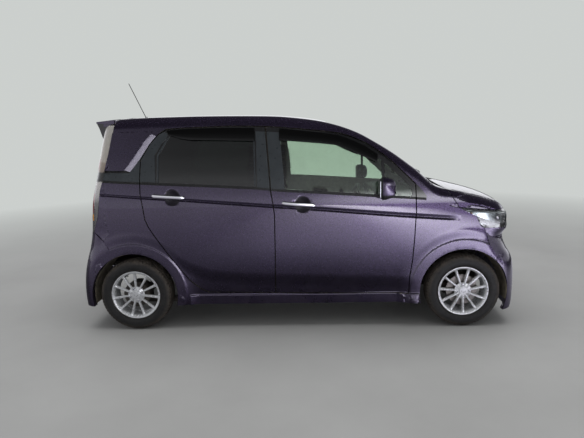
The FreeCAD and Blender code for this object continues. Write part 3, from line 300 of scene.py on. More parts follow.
def plain_material(name, dark, light, scale, rough=(0.4, 0.6), metallic=0.0, bump=0.0, coat=0.0, edge=0.0,
                   dust=0.0, dust_top=0.5):
    """Two close colours that drift; a single number stands for a grey."""
    m = material(name)
    dark, light = (c if isinstance(c, tuple) else (c,) * 3 for c in (dark, light))
    colour = m.mix(m.drift(scale, 4.0, 0.6), dark, light)
    roughness = m.drift(scale * 2.3, low=rough[0], high=rough[1])
    if dust > 0:
        mask = dust_mask(m, dust_top, dust)
        colour = m.mix(mask, colour, (0.17, 0.15, 0.13))
        roughness = m.maths("ADD", roughness, m.times(mask, 0.3))
    values = dict(Base_Color=colour, Roughness=roughness, Metallic=metallic, Coat_Weight=coat,
                  Coat_Roughness=0.04)
    if edge > 0:
        values["Normal"] = m.add("Bevel", [edge], samples=4)
    if bump > 0:
        values["Normal"] = m.bump(m.noise(scale * 6, 4.0), 0.4, bump, values.get("Normal"))
    return m.done(m.principled(**values))


def glass_material(name, tint, haze):
    """Thin glass: tinted see-through light with a reflection on top."""
    m = material(name)
    smears = m.drift(5.0, 4.0, 0.6, start=0.35, end=0.75)
    see = m.add("BsdfTransparent", [m.mix(m.times(smears, 0.12), tint, darker(tint, 0.8))])
    gloss = m.add("BsdfGlossy", {"Color": (0.9,) * 3, "Roughness": m.range(smears, 0.0, 1.0, 0.01, 0.03)})
    fresnel = m.add("Fresnel", {"IOR": 1.55})
    return m.done(m.add("MixShader", [m.maths("ADD", fresnel, haze), see, gloss]))


def lens_material(name, stops):
    """Lamp lens with its tint changing by height and fine upright ribs under a clear skin."""
    m = material(name)
    height = m.range(m.axis("Z"), 0.70, 1.70)
    colour = m.ramp(m.maths("ADD", height, m.drift(14.0, 2.0, low=-0.006, high=0.006)), stops)
    ribs = m.wave("DIAGONAL", 46.0, 0.4)
    shade = m.mix(m.range(ribs, 0.0, 1.0, 0.0, 0.35), colour, (0.03,) * 3, "MULTIPLY")
    return m.done(m.principled(Base_Color=shade, Roughness=m.drift(20.0, low=0.12, high=0.20), Metallic=0.35,
                               Coat_Weight=1.0, Coat_Roughness=0.03, Normal=m.bump(ribs, 0.5, 0.0012)))


def cloth_material(name, dark, light):
    """Woven seat cloth: crossed threads, soft colour drift and a faint sheen."""
    m = material(name)
    threads = [m.wave(direction, 260.0, 1.5) for direction in "XYZ"]
    knit = m.times(m.maths("ADD", threads[0], threads[1]), threads[2])
    colour = m.mix(m.drift(7.0, 4.0, 0.6), dark, light)
    colour = m.mix(m.range(knit, 0.1, 1.2, 0.0, 0.5), colour, darker(dark, 0.55))
    return m.done(m.principled(Base_Color=colour, Roughness=m.drift(60.0, 2.0, low=0.82, high=0.95),
                               Sheen_Weight=0.3, Normal=m.bump(knit, 0.5, 0.0006)))


def tyre_material(name):
    """Rubber in the wheel's own coordinates: rings on the sidewall and dust on the tread edge."""
    m = material(name)
    x, z = m.axis("X"), m.axis("Z")
    radius = m.maths("SQRT", m.maths("ADD", m.times(x, x), m.times(z, z)), 0.0)
    colour = m.mix(m.drift(12.0, 4.0, 0.6), (0.012, 0.012, 0.013), (0.026, 0.025, 0.024))
    worn = m.maths("ADD", m.range(radius, 0.240, 0.272), m.range(radius, 0.188, 0.205, 0.45, 0.0))
    dust = m.times(worn, m.drift(26.0, 5.0, 0.65, 0.15, 0.75, 0.32, 0.72))
    wave = m.add("Math", [m.times(radius, 2300.0)], operation="SINE")
    zone = m.times(m.range(radius, 0.232, 0.240), m.range(radius, 0.254, 0.262, 1.0, 0.0))
    height = m.maths("ADD", m.times(wave, zone), m.noise(90.0))
    roughness = m.maths("ADD", m.drift(40.0, low=0.55, high=0.70), m.times(dust, 0.25))
    return m.done(m.principled(Base_Color=m.mix(dust, colour, (0.145, 0.118, 0.095)), Roughness=roughness,
                               Normal=m.bump(height, 0.35, 0.0008)))


PAINT = paint_material("paint_purple", (0.018, 0.010, 0.032), (0.100, 0.075, 0.150))
GLOSS_BLACK = plain_material("gloss_black", (0.005, 0.005, 0.006), (0.010, 0.010, 0.011), 12, (0.12, 0.2),
                             coat=0.8, edge=0.0015)
FILM = plain_material("pillar_film", (0.034, 0.040, 0.046), (0.046, 0.054, 0.060), 14, (0.26, 0.36), 0.25,
                      coat=0.25)
# Pale lilac on the bevelled strip of the rear pillar: a painted highlight, the bright reflection along the
# bevel put into the colour.
PILLAR_STRIP_HIGHLIGHT = plain_material("pillar_strip_painted_highlight", (0.36, 0.33, 0.42), (0.46, 0.43, 0.52), 10, (0.22, 0.30), 0.6,
                       coat=1.0)
SEAL = plain_material("seal_rubber", 0.006, 0.012, 60, (0.5, 0.65), bump=0.0004)
BLACK_PLASTIC = plain_material("black_plastic", (0.012, 0.012, 0.013), (0.022, 0.022, 0.023), 40, (0.5, 0.65),
                               bump=0.0006, dust=0.4)
RUBBER = tyre_material("tyre_rubber")
ALLOY = plain_material("alloy", (0.74, 0.75, 0.77), (0.86, 0.87, 0.89), 20, (0.24, 0.36), 0.45, edge=0.001)
# Near black colour for the dish under each door handle: painted shade in the recess, where the body paint
# lies in shadow.
DISH_SHADE = plain_material("handle_dish_painted_shade", (0.008, 0.006, 0.011), (0.014, 0.011, 0.018), 12, (0.3, 0.4), coat=0.4)
CHROME = plain_material("chrome", (0.78, 0.79, 0.82), (0.88, 0.88, 0.9), 10, (0.05, 0.12), 1.0, edge=0.001)
UNDER = plain_material("under_metal", (0.018, 0.017, 0.016), (0.050, 0.042, 0.036), 16, (0.6, 0.8), 0.3,
                       0.001, dust=0.6)
BRAKE = plain_material("brake_iron", (0.16, 0.15, 0.14), (0.30, 0.28, 0.26), 30, (0.35, 0.5), 0.9, 0.0006)
LINER = plain_material("floor_liner", 0.012, (0.030, 0.028, 0.026), 24, (0.75, 0.9), bump=0.001, dust=0.9,
                       dust_top=0.75)
CLOTH = cloth_material("seat_cloth", (0.30, 0.255, 0.205), (0.40, 0.35, 0.29))
DASH = plain_material("dash_plastic", (0.03, 0.028, 0.028), (0.05, 0.047, 0.045), 50, (0.5, 0.65),
                      bump=0.0006)
DASH_PALE = plain_material("dash_lower", (0.27, 0.235, 0.195), (0.34, 0.30, 0.25), 50, (0.5, 0.65),
                           bump=0.0006)
TRIM_IN = plain_material("cabin_trim", (0.19, 0.17, 0.145), (0.27, 0.245, 0.21), 30, (0.7, 0.85), bump=0.0006)
CLEAR = glass_material("clear_glass", (0.88, 0.955, 0.89), 0.03)
SCREEN = glass_material("screen_glass", (0.74, 0.84, 0.77), 0.03)
SMOKED = glass_material("dark_glass", (0.22, 0.255, 0.235), 0.05)
VISOR = glass_material("visor_smoke", (0.10, 0.11, 0.115), 0.06)
LAMP_CLEAR = glass_material("lamp_clear", (0.86, 0.90, 0.90), 0.10)
LAMP_GLOW = plain_material("lamp_white", (0.70, 0.73, 0.74), (0.80, 0.82, 0.83), 18, (0.15, 0.25), coat=0.8)
BOWL = plain_material("lamp_bowl", (0.55, 0.57, 0.58), (0.72, 0.74, 0.75), 26, (0.10, 0.2), 0.95)
BULB = plain_material("lamp_bulb", (0.30, 0.32, 0.34), (0.42, 0.44, 0.46), 10, (0.03, 0.06), 0.2, coat=1.0)
PLATE = plain_material("plate_blank", (0.70, 0.70, 0.67), (0.78, 0.78, 0.75), 8, (0.35, 0.5), bump=0.0003)
RED_LENS = plain_material("red_lens", (0.28, 0.010, 0.012), (0.36, 0.016, 0.018), 24, (0.08, 0.16), coat=1.0)
AMBER = plain_material("amber_lens", (0.75, 0.30, 0.03), (0.85, 0.38, 0.05), 24, (0.1, 0.2), coat=1.0)
MIRROR_GLASS = plain_material("mirror_glass", (0.60, 0.63, 0.66), (0.68, 0.71, 0.74), 4, (0.02, 0.05), 1.0)
TAIL_LENS = lens_material("tail_lens", [
    (0.00, (0.30, 0.30, 0.31)), (0.10, (0.10, 0.10, 0.105)), (0.30, (0.16, 0.15, 0.155)),
    (0.36, (0.62, 0.60, 0.60)), (0.455, (0.70, 0.66, 0.64)), (0.462, (0.012,) * 3), (0.530, (0.014,) * 3),
    (0.540, (0.34, 0.27, 0.22)), (0.60, (0.42, 0.34, 0.28)), (0.615, (0.60, 0.54, 0.48)),
    (0.90, (0.62, 0.60, 0.56)),
])
ARCH_LINER = plain_material("arch_liner", (0.10, 0.088, 0.068), (0.27, 0.235, 0.18), 15, (0.8, 0.95),
                            bump=0.0015)

# Materials of the solids by the start of their names, and material slots of the added pieces.
KINDS = (
    ("tyre", RUBBER), ("rim", ALLOY), ("window_front", CLEAR), ("windscreen", SCREEN), ("window_", SMOKED),
    ("headlamp", LAMP_CLEAR), ("tail_lamp", TAIL_LENS), ("seat", CLOTH), ("dashboard", DASH),
    ("steering", DASH), ("cowl", BLACK_PLASTIC), ("aerial", BLACK_PLASTIC), ("knuckle", BRAKE),
    ("floor_pan", LINER), ("engine", UNDER), ("front_subframe", UNDER), ("rear_axle", UNDER),
    ("grille", CHROME),
)


def kind_of(node):
    return next((kind for start, kind in KINDS if node.startswith(start)), PAINT)


def body_name(node):
    return next(body for body, nodes in frame["record"]["behaviour"]["bodies"].items() if node in nodes)


def settle(obj, body="car", angle=35):
    """Shade smooth with edges sharper than the angle kept, and give the piece its body."""
    obj.data.set_sharp_from_angle(angle=math.radians(angle))
    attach(obj, body)
    return obj


for node, obj in frame["nodes"].items():
    obj.data.materials.clear()
    obj.data.materials.append(kind_of(node))


# Outlines in the side view, in millimetres from the middle of the wheelbase.
BELT = [
    (-1475, 1164), (-1171, 1146), (-986, 1135), (-640, 1116), (-294, 1094), (-116, 1074), (230, 1050),
    (578, 1022), (878, 1001), (962, 993),
]
REAR_EDGE = [(-1243, 1232), (-1208, 1274), (-1174, 1320), (-1136, 1376), (-1101, 1429), (-1070, 1468)]
BLACKOUT = [(-1475, 1232), (-1258, 1229)] + REAR_EDGE + [
    (-1036, 1502), (-1003, 1530), (-967, 1548), (-840, 1553), (-483, 1556), (-183, 1544), (41, 1523),
    (200, 1508), (344, 1489), (419, 1463), (480, 1437), (531, 1412), (620, 1348), (707, 1281), (780, 1213),
    (853, 1137), (925, 1069), (962, 1018),
] + BELT[::-1]
FILM_REAR = [(-1475, 1162), (-1475, 1232), (-1258, 1229)] + REAR_EDGE + [
    (-1036, 1502), (-1003, 1524), (-945, 1512), (-1010, 1400), (-1040, 1348), (-1040, 1136), (-1171, 1148),
]
FILM_MIDDLE = [(-293, 1512), (-104, 1500), (-80, 1074), (-116, 1076), (-284, 1094)]
BELT_STRIP = [(x, z + 9) for x, z in BELT] + [(x, z - 9) for x, z in BELT[::-1]]
PANEL_EDGE = REAR_EDGE + [(-1046, 1492)]
PANEL_INNER = [(-1288, 1246), (-1247, 1292), (-1212, 1340), (-1174, 1396), (-1139, 1447), (-1108, 1486),
               (-1080, 1508)]
PANEL = [(-1475, 1232), (-1258, 1229)] + PANEL_EDGE + [(-1035, 1520), (-1060, 1560), (-1475, 1560)]
PANEL_TOP = [(-1475, 1240), (-1300, 1238)] + PANEL_INNER + [(-1075, 1530), (-1475, 1530)]
# Dark band in seal rubber under the lower edge of the raised pillar panel: a painted shadow line where the
# panel's edge shades the band below.
PANEL_GAP_SHADOW = [(-1475, 1242), (-1300, 1240), (-1284, 1246), (-1240, 1234), (-1254, 1224), (-1475, 1226)]
# Band of the bevelled strip on the rear pillar, which takes the pale painted highlight.
STRIP_HIGHLIGHT_BAND = PANEL_EDGE + PANEL_INNER[::-1]
UNDERCUT = [
    (-1020, 690), (-816, 543), (-666, 486), (-400, 458), (-169, 446), (200, 436), (560, 424), (889, 408),
    (1000, 400),
]
CREASE = [
    (-1560, 1082), (-1466, 1075), (-1175, 1052), (-828, 1029), (-191, 977), (31, 962), (695, 904),
    (1135, 870), (1215, 866),
]
DISHES = [(52, 968), (-925, 1037)]
DISH_RADIUS = 62


def in_polygon(x, z, polygon):
    hit = np.zeros(len(x), bool)
    for (x0, z0), (x1, z1) in zip(polygon, polygon[1:] + polygon[:1]):
        if z0 != z1:
            hit ^= ((z0 > z) != (z1 > z)) & (x < (x1 - x0) * (z - z0) / (z1 - z0) + x0)
    return hit


def ease(u):
    u = np.clip(u, 0.0, 1.0)
    return u * u * (3 - 2 * u)


def along(x, outline):
    return np.interp(x, *np.array(outline, float).T)


def crease_height(x):
    return np.interp(x, [-1400, 900], [12, 22])


def relief(x, z):
    """How far the side skin stands out from the plain body surface."""
    under = along(x, UNDERCUT) - z
    fade = ease((x + 1000) / 160) * ease((930 - x) / 120)
    swell = -9.0 * ease(under / 115) * fade * ease((z - 120) / 30)
    away = np.hypot(np.abs(x) - HALF_BASE, z - AXLE_Z) - ARCH
    dip = -5.0 * ease((away - 62) / 22) * ease((150 - away) / 70)
    lip = -2.0 * ease((9 - away) / 6)
    below = (along(x, CREASE) - z) / crease_height(x)
    groove = np.clip(np.minimum(below, (1.75 - below) / 0.75), 0.0, 1.0)
    groove = groove * -7.0 * np.clip((1215 - x) / 90, 0.0, 1.0)
    skirt = 7.0 * ease((278 - z) / 18) + 8.0 * np.clip((260 - z) / 66, 0.0, 1.2)
    skirt = skirt * ease((x + 840) / 12) * ease((930 - x) / 12)
    for dish_x, dish_z in DISHES:
        far = np.hypot(x - dish_x, z - dish_z) / DISH_RADIUS
        groove = np.minimum(groove, -18.0 * np.clip(1.0 - far * far, 0.0, 1.0))
    return swell + dip * ease((1000 - z) / 60) + lip + groove + skirt


def drawing(co):
    """Drawing millimetres of points in metres of the row frame."""
    return co[:, 0] * 1000 - SHIFT, co[:, 1] * 1000, co[:, 2] * 1000


def skin_normals(co, with_relief):
    """Unit normals of the body surface, or of the surface with its relief."""
    result = outward(co)
    if with_relief:
        x, y, z = drawing(co)
        result[:, 0] -= (relief(x + 1.0, z) - relief(x - 1.0, z)) / 2
        result[:, 2] -= (relief(x, z + 1.0) - relief(x, z - 1.0)) / 2
        result /= np.linalg.norm(result, axis=1, keepdims=True)
    return result


def triangles(mesh):
    """Corner positions in drawing millimetres, and corner numbers, of a mesh cut into triangles."""
    bm = bmesh.new()
    bm.from_mesh(mesh)
    bmesh.ops.remove_doubles(bm, verts=bm.verts, dist=2e-6)
    bmesh.ops.triangulate(bm, faces=bm.faces)
    bm.verts.index_update()
    points = np.array([v.co for v in bm.verts], float) * 1000
    corners = np.array([[v.index for v in f.verts] for f in bm.faces], int)
    bm.free()
    points[:, 0] -= SHIFT
    return points, corners


def split_level(points, corners, field):
    """Split triangles where the field crosses zero."""
    above = field(points) >= 0
    mixed = above[corners].sum(axis=1) % 3 != 0
    todo = corners[mixed]
    if len(todo) == 0:
        return points, corners
    flags = above[todo]
    single = np.where(flags.sum(axis=1) == 1, np.argmax(flags, axis=1), np.argmin(flags, axis=1))
    a, b, c = (todo[np.arange(len(todo)), (single + k) % 3] for k in range(3))
    pairs = np.sort(np.concatenate([np.stack([a, b], 1), np.stack([a, c], 1)]), axis=1)
    edges, number = np.unique(pairs, axis=0, return_inverse=True)
    number = len(points) + number.ravel()
    start = points[edges[:, 0]]
    way = points[edges[:, 1]] - start
    low = np.zeros(len(edges))
    high = np.ones(len(edges))
    for _ in range(14):
        middle = (low + high) / 2
        same = (field(start + way * middle[:, None]) >= 0) == above[edges[:, 0]]
        low = np.where(same, middle, low)
        high = np.where(same, high, middle)
    fresh = start + way * np.clip((low + high) / 2, 0.002, 0.998)[:, None]
    p, q = number[:len(todo)], number[len(todo):]
    quads = [np.stack(corner, 1) for corner in ((a, p, q), (p, b, c), (p, c, q))]
    return np.concatenate([points, fresh]), np.concatenate([corners[~mixed]] + quads)


def edge_field(polygon):
    """Signed distance to a polygon's outline in the side view, positive inside it."""
    start = np.array(polygon, float)
    way = np.array(polygon[1:] + polygon[:1], float) - start

    def field(points):
        p = points[:, [0, 2]]
        best = np.full(len(p), 1e9)
        for first, step in zip(start, way):
            d = p - first
            u = np.clip((d @ step) / (step ** 2).sum(), 0, 1)
            best = np.minimum(best, np.hypot(d[:, 0] - u * step[0], d[:, 1] - u * step[1]))
        return np.where(in_polygon(p[:, 0], p[:, 1], polygon), best, -best)

    return field


def arch_field(radius):
    return lambda points: np.hypot(np.abs(points[:, 0]) - HALF_BASE, points[:, 2] - AXLE_Z) - radius


def crease_field(share):
    return lambda p: p[:, 2] - along(p[:, 0], CREASE) + crease_height(p[:, 0]) * share


def dish_field(x, z, radius):
    return lambda points: np.hypot(points[:, 0] - x, points[:, 2] - z) - radius


def level_field(axis, level):
    return lambda points: (np.abs(points[:, axis]) if axis == 1 else points[:, axis]) - level


def cut_panel(node, splits, grid, skin_middle):
    """A panel's triangles, cut at the outer skin by a grid and along fields, each within its reach."""
    points, every = triangles(frame["nodes"][node].data)
    touching = (np.abs(inside(*points.T) - skin_middle) < 3.0)[every].any(axis=1)
    corners = every[touching]
    for axis in range(3):
        level = math.ceil(points[:, axis].min() / grid) * grid
        while level < points[:, axis].max():
            points, corners = split_level(points, corners, lambda p: p[:, axis] - level)
            level += grid
    for field, reach in splits:
        meets = np.ones(len(corners), bool)
        for axis, start, end in reach:
            across = points[corners][:, :, axis]
            meets &= (across.max(axis=1) > start - 2) & (across.min(axis=1) < end + 2)
        points, fresh = split_level(points, corners[meets], field)
        corners = np.concatenate([corners[~meets], fresh])
    return points, np.concatenate([every[~touching], corners])


def read(items, field, width, kind=float):
    values = np.empty(len(items) * width, kind)
    items.foreach_get(field, values)
    return values.reshape(-1, width) if width > 1 else values


def reskin(node, grid, inner=None, zones=(), splits=(), side=False, raised=None, skin_middle=0.0,
           recesses=()):
    """A copy of a panel whose outer and inner skins take the exact normals of the body surface."""
    points, corners = cut_panel(node, splits, grid, skin_middle)
    points[:, 0] += SHIFT
    mesh = bpy.data.meshes.new(node + "_skin")
    mesh.from_pydata((points / 1000).tolist(), [], corners.tolist())
    mesh.update()
    obj = bpy.data.objects.new(node + "_skin", mesh)
    scene.collection.objects.link(obj)
    mesh.materials.append(kind_of(node))
    co = read(mesh.vertices, "co", 3)
    vertex = read(mesh.loops, "vertex_index", 1, np.int32)
    faces = len(mesh.polygons)
    face_of = np.repeat(np.arange(faces), 3)
    centre = co[vertex].reshape(-1, 3, 3).sum(axis=1) / 3
    cx, cy, cz = drawing(centre)
    depth_centre = inside(cx, cy, cz)
    depth = inside(*drawing(co)) - skin_middle
    facing = np.sum(outward(centre) * read(mesh.polygons, "normal", 3), axis=1)
    sliver = read(mesh.polygons, "area", 1) <= 1.5e-6
    is_outer = (np.abs(depth[vertex].reshape(-1, 3)).max(axis=1) < 2.5) & ((facing > 0.3) | sliver)
    touch_outer = np.zeros(len(co), bool)
    touch_outer[vertex[is_outer[face_of]]] = True
    is_inner = (facing < -0.94) & (depth_centre > 3.0)
    co = co + outward(co) * np.where(touch_outer & (np.abs(depth) < 3.0), depth, 0.0)[:, None] / 1000
    if side:
        x, y, z = drawing(co)
        push = relief(x, z) * ease((26 - depth) / 20)
        if raised is not None:
            push = push + 7.0 * (in_polygon(x, z, raised) & (depth < 3))
        co = co + outward(co) * push[:, None] / 1000
    sunk = np.zeros(faces, bool)
    for recess_material, half, low, high, deep in recesses:
        x, y, z = drawing(co)
        within = np.minimum(half - np.abs(y), np.minimum(z - low, high - z))
        co = co - outward(co) * (deep * ease(within / 2.0) * touch_outer)[:, None] / 1000
        sunk |= is_outer & (np.abs(cy) < half) & (cz > low) & (cz < high)
    mesh.vertices.foreach_set("co", co.ravel())
    mesh.update()
    normals = read(mesh.polygons, "normal", 3)[face_of]
    exact = skin_normals(co, side)[vertex]
    agree = np.sum(exact * normals, axis=1)
    if raised is not None:
        exact[(in_polygon(cx, cz, STRIP_HIGHLIGHT_BAND) & is_outer)[face_of]] += np.array([0.15, 0.0, -0.11])
        exact /= np.linalg.norm(exact, axis=1, keepdims=True)
    outer = (is_outer & ~sunk)[face_of] & ((agree > 0.8) | sliver[face_of])
    inner_side = is_inner[face_of] & (agree < -0.8)
    normals[outer] = exact[outer]
    normals[inner_side] = -exact[inner_side]
    mesh.polygons.foreach_set("use_smooth", [True] * faces)
    mesh.normals_split_custom_set([tuple(n) for n in normals])
    index = np.zeros(faces, np.int32)

    def paint(zone_material, where):
        mesh.materials.append(zone_material)
        index[where] = len(mesh.materials) - 1

    for zone_material, polygon in zones:
        paint(zone_material, in_polygon(cx, cz, polygon) & (depth_centre < 12))
    if inner is not None:
        paint(inner, depth_centre > 14)
    if side:
        # Painted shade: the dish round each handle takes the near black dish colour.
        paint(DISH_SHADE, is_outer & np.any([np.hypot(cx - x, cz - z) < 60 for x, z in DISHES], axis=0))
    for recess_material, half, low, high, deep in recesses:
        if recess_material is not None:
            paint(recess_material, sunk & (np.abs(cy) < half) & (cz > low) & (cz < high))
    mesh.polygons.foreach_set("material_index", index)
    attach(obj, body_name(node))
    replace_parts(obj, node)


# The panel gap zone paints a shadow line in seal rubber under the raised pillar panel.
# The strip band zone on the rear pillar is painted pale as a highlight.
SIDE_ZONES = [
    (GLOSS_BLACK, BLACKOUT), (FILM, FILM_REAR), (FILM, FILM_MIDDLE), (SEAL, BELT_STRIP), (SEAL, PANEL_GAP_SHADOW),
    (PILLAR_STRIP_HIGHLIGHT, STRIP_HIGHLIGHT_BAND),
]
SIDE_FIELDS = [edge_field(polygon) for zone_material, polygon in SIDE_ZONES]
SIDE_FIELDS += [lambda points: points[:, 2] - along(points[:, 0], UNDERCUT)]
SIDE_FIELDS += [arch_field(ARCH + away) for away in (3, 9, 62, 72, 84, 115, 150)]
SIDE_FIELDS += [crease_field(share) for share in (-0.12, 0.1, 0.55, 0.9, 1.12, 1.65, 1.9)]
SIDE_FIELDS += [level_field(2, level) for level in (260, 266, 272, 279)]
DISH_SPLITS = [
    (dish_field(x, z, radius), ((0, x - DISH_RADIUS, x + DISH_RADIUS), (2, z - DISH_RADIUS, z + DISH_RADIUS)))
    for x, z in DISHES for radius in (DISH_RADIUS, 50, 34, 16)
]
PANEL_SPLITS = [(edge_field(polygon), ()) for polygon in (PANEL, PANEL_TOP)]
for name, more in (("door_front", DISH_SPLITS), ("door_rear", DISH_SPLITS), ("body_side", PANEL_SPLITS),
                   ("fender", [])):
    for side_name in ("right", "left"):
        reskin(name + "_" + side_name, 36, TRIM_IN if name != "fender" else None, SIDE_ZONES,
               [(field, ()) for field in SIDE_FIELDS] + more, True,
               PANEL_TOP if name == "body_side" else None)

# Recesses in the ends: material, half width, lower and upper height, depth.
RECESSES = {
    "front_bumper": [
        (BLACK_PLASTIC, half, low, high, 5) for half, low, high in (
            (330, 176, 192), (345, 202, 218), (355, 228, 244), (370, 470, 488), (380, 498, 516),
            (380, 526, 544),
        )
    ],
    "tailgate": [(None, 186, 698, 874, 6)],
    "grille": [(BLACK_PLASTIC, 350, low, low + 16, 6) for low in (786, 812, 838)],
    "rear_bumper": [(BLACK_PLASTIC, 420, 250, 330, 6)],
}


def carve(name, grid, inner=None, skin_middle=0.0):
    recesses = RECESSES.get(name, [])
    splits = []
    for recess_material, half, low, high, deep in recesses:
        reach = ((1, -half, half), (2, low, high))
        splits += [(level_field(2, level), reach) for level in (low, low + 2, high - 2, high)]
        splits += [(level_field(1, level), reach) for level in (half, half - 2)]
    reskin(name, grid, inner, splits=splits, skin_middle=skin_middle, recesses=recesses)


for name, inner in (("roof", TRIM_IN), ("bonnet", None), ("tailgate", TRIM_IN), ("front_bumper", None),
                    ("rear_bumper", None)):
    carve(name, 50, inner)
for name in ("window_front_right", "window_front_left", "window_rear_right", "window_rear_left", "windscreen",
             "window_tailgate"):
    carve(name, 40, skin_middle=GLASS_INSET)
for name in ("headlamp_right", "headlamp_left", "tail_lamp_right", "tail_lamp_left", "grille"):
    carve(name, 40)


def quads(rows, cols, wrap_cols=True, wrap_rows=False, first=0, turned=False):
    """Faces of a grid of points, which may close on itself either way."""
    faces = []
    for i in range(rows if wrap_rows else rows - 1):
        for j in range(cols if wrap_cols else cols - 1):
            m = (i + 1) % rows
            n = (j + 1) % cols
            a, b, c, d = (first + r * cols + s for r, s in ((i, j), (i, n), (m, n), (m, j)))
            faces.append((a, d, c, b) if turned else (a, b, c, d))
    return faces


def bar_faces(rows, cols, first=0):
    """Faces of a bar with closed ends."""
    ends = [tuple(first + j for j in reversed(range(cols))),
            tuple(first + (rows - 1) * cols + j for j in range(cols))]
    return quads(rows, cols, first=first) + ends


def circle(count):
    return [2 * math.pi * k / count for k in range(count)]


# Wheels, built round their own middle: local Y points outboard, and the radius lies in X and Z.
def ring_mesh(name, profile, count, material, shape=None, closed=True):
    """Revolve of (outboard, radius) in millimetres; shape may move a point by its angle index."""
    verts = []
    for k, a in enumerate(circle(count)):
        for out, radius in profile:
            turn, y, r = shape(k, out, radius) if shape else (a, out, radius)
            verts.append((r * math.sin(turn) / 1000, y / 1000, r * math.cos(turn) / 1000))
    return make(name, verts, quads(count, len(profile), closed, True), material)


TREAD_BLOCKS = 66
TYRE_PROFILE = [
    (-58, 179), (-58, 191), (-63, 195), (-70, 207), (-75.5, 221), (-77.2, 236), (-76, 250), (-72.5, 259),
    (-69.5, 264), (-66, 269), (-58, 273.4), (-43, 276.2), (-42, 269.5), (-36, 269.5), (-35, 276.8),
    (-16, 277.8), (-15, 270.5), (-9, 270.5), (-8, 278), (8, 278), (9, 270.5), (15, 270.5), (16, 277.8),
    (35, 276.8), (36, 269.5), (42, 269.5), (43, 276.2), (58, 273.4), (66, 269), (69.5, 264), (72.5, 259),
    (76, 250), (77.2, 236), (76.8, 229), (75.6, 228.2), (75.4, 221), (72.8, 213), (71.2, 212.4), (70, 207),
    (65.5, 199), (64.4, 198.4), (62.5, 195), (58, 191), (58, 179),
]
RIM_PROFILE = [
    (66.5, 189.2), (64.5, 190.0), (61.5, 189.2), (59.5, 186.5), (58, 183), (56, 178), (50, 172), (20, 169.5),
    (-20, 168.5), (-52, 169), (-58, 173), (-61, 182), (-63, 189.5), (-66.5, 189.2), (-66, 183), (-60, 171),
    (-52, 166.2), (-20, 165.5), (30, 166.0), (44, 167.5), (56, 170.5), (62, 174.5), (65.6, 180), (66.9, 186),
]
SPOKES = 11
SPOKE_SECTIONS = (
    (30, 12.5, 57.5, 46), (50, 12.5, 59.0, 45.5), (70, 12.8, 60.3, 44.5), (95, 13.8, 60.8, 43),
    (120, 15.0, 60.6, 43), (145, 16.4, 60.6, 43.5), (160, 17.6, 61.5, 45), (168, 19.5, 63.5, 48),
    (174, 24.0, 65.0, 54),
)
HUB_PAD = [(45.2, 29), (57.0, 29), (57.6, 31), (57.6, 36), (56.0, 38.5), (54.0, 60), (52.0, 64), (45.2, 64)]
HUB_CAP = [(56, 30), (63.0, 30), (65.0, 28.6), (65.8, 26.5), (65.4, 23.5), (65.6, 16), (65.9, 8), (66.0, 0.4)]
LUG_POCKET = [(54.2, 13.0), (57.4, 12.4), (57.6, 11.4), (56.8, 10.4), (52.4, 10.2), (52.2, 0.3)]
LUG_NUT = [(52.3, 7.6), (61.0, 7.6), (62.6, 6.4), (63.6, 3.4), (63.9, 0.2)]


def tyre_shape(k, out, radius):
    step = 2 * math.pi / TREAD_BLOCKS
    block, part = divmod(k, 4)
    lean = 0.10 * step * (radius - 260) / 20 if radius > 260 else 0.0
    angle = block * step + step * (0.0, 0.07, 0.80, 0.87)[part]
    if abs(out) > 40 and radius > 255 and part in (0, 3):
        radius -= 4.5 if radius > 262 else 1.5
    return angle + lean, out, radius


def rim_spokes(name):
    verts = []
    faces = []
    for spoke in range(SPOKES):
        a = 2 * math.pi * (spoke + 0.5) / SPOKES
        faces += bar_faces(len(SPOKE_SECTIONS), 6, len(verts))
        for radius, wide, front, back in SPOKE_SECTIONS:
            half = wide / 2
            for across, out in ((-half - 2.0, back), (-half, front - 3.5), (-half * 0.55, front),
                                (half * 0.55, front), (half, front - 3.5), (half + 2.0, back)):
                verts.append(((radius * math.sin(a) + across * math.cos(a)) / 1000, out / 1000,
                              (radius * math.cos(a) - across * math.sin(a)) / 1000))
    return make(name, verts, faces, ALLOY)


def rim_hub(name):
    """Hub pad with four lug pockets left between raised webs, and a bare domed cap."""
    parts = [(ring_mesh(name + "_pad", HUB_PAD, 96, ALLOY), 30),
             (ring_mesh(name + "_cap", HUB_CAP, 96, ALLOY, closed=False), 30)]
    for lug in range(4):
        a = math.pi / 2 * lug
        cx, cz = 50 * math.sin(a), 50 * math.cos(a)

        def spot(t, out, radius):
            return (cx + radius * math.cos(t)) / 1000, out / 1000, (cz + radius * math.sin(t)) / 1000

        pocket = [spot(t, out, radius) for t in circle(28) for out, radius in LUG_POCKET]
        parts.append((make(name + "_pocket_%d" % lug, pocket, quads(28, len(LUG_POCKET), False, True),
                           ALLOY), 30))
        nut = [spot(math.pi / 3 * k, out, radius) for out, radius in LUG_NUT for k in range(6)]
        parts.append((make(name + "_nut_%d" % lug, nut, quads(len(LUG_NUT), 6), CHROME, False), None))
    return parts


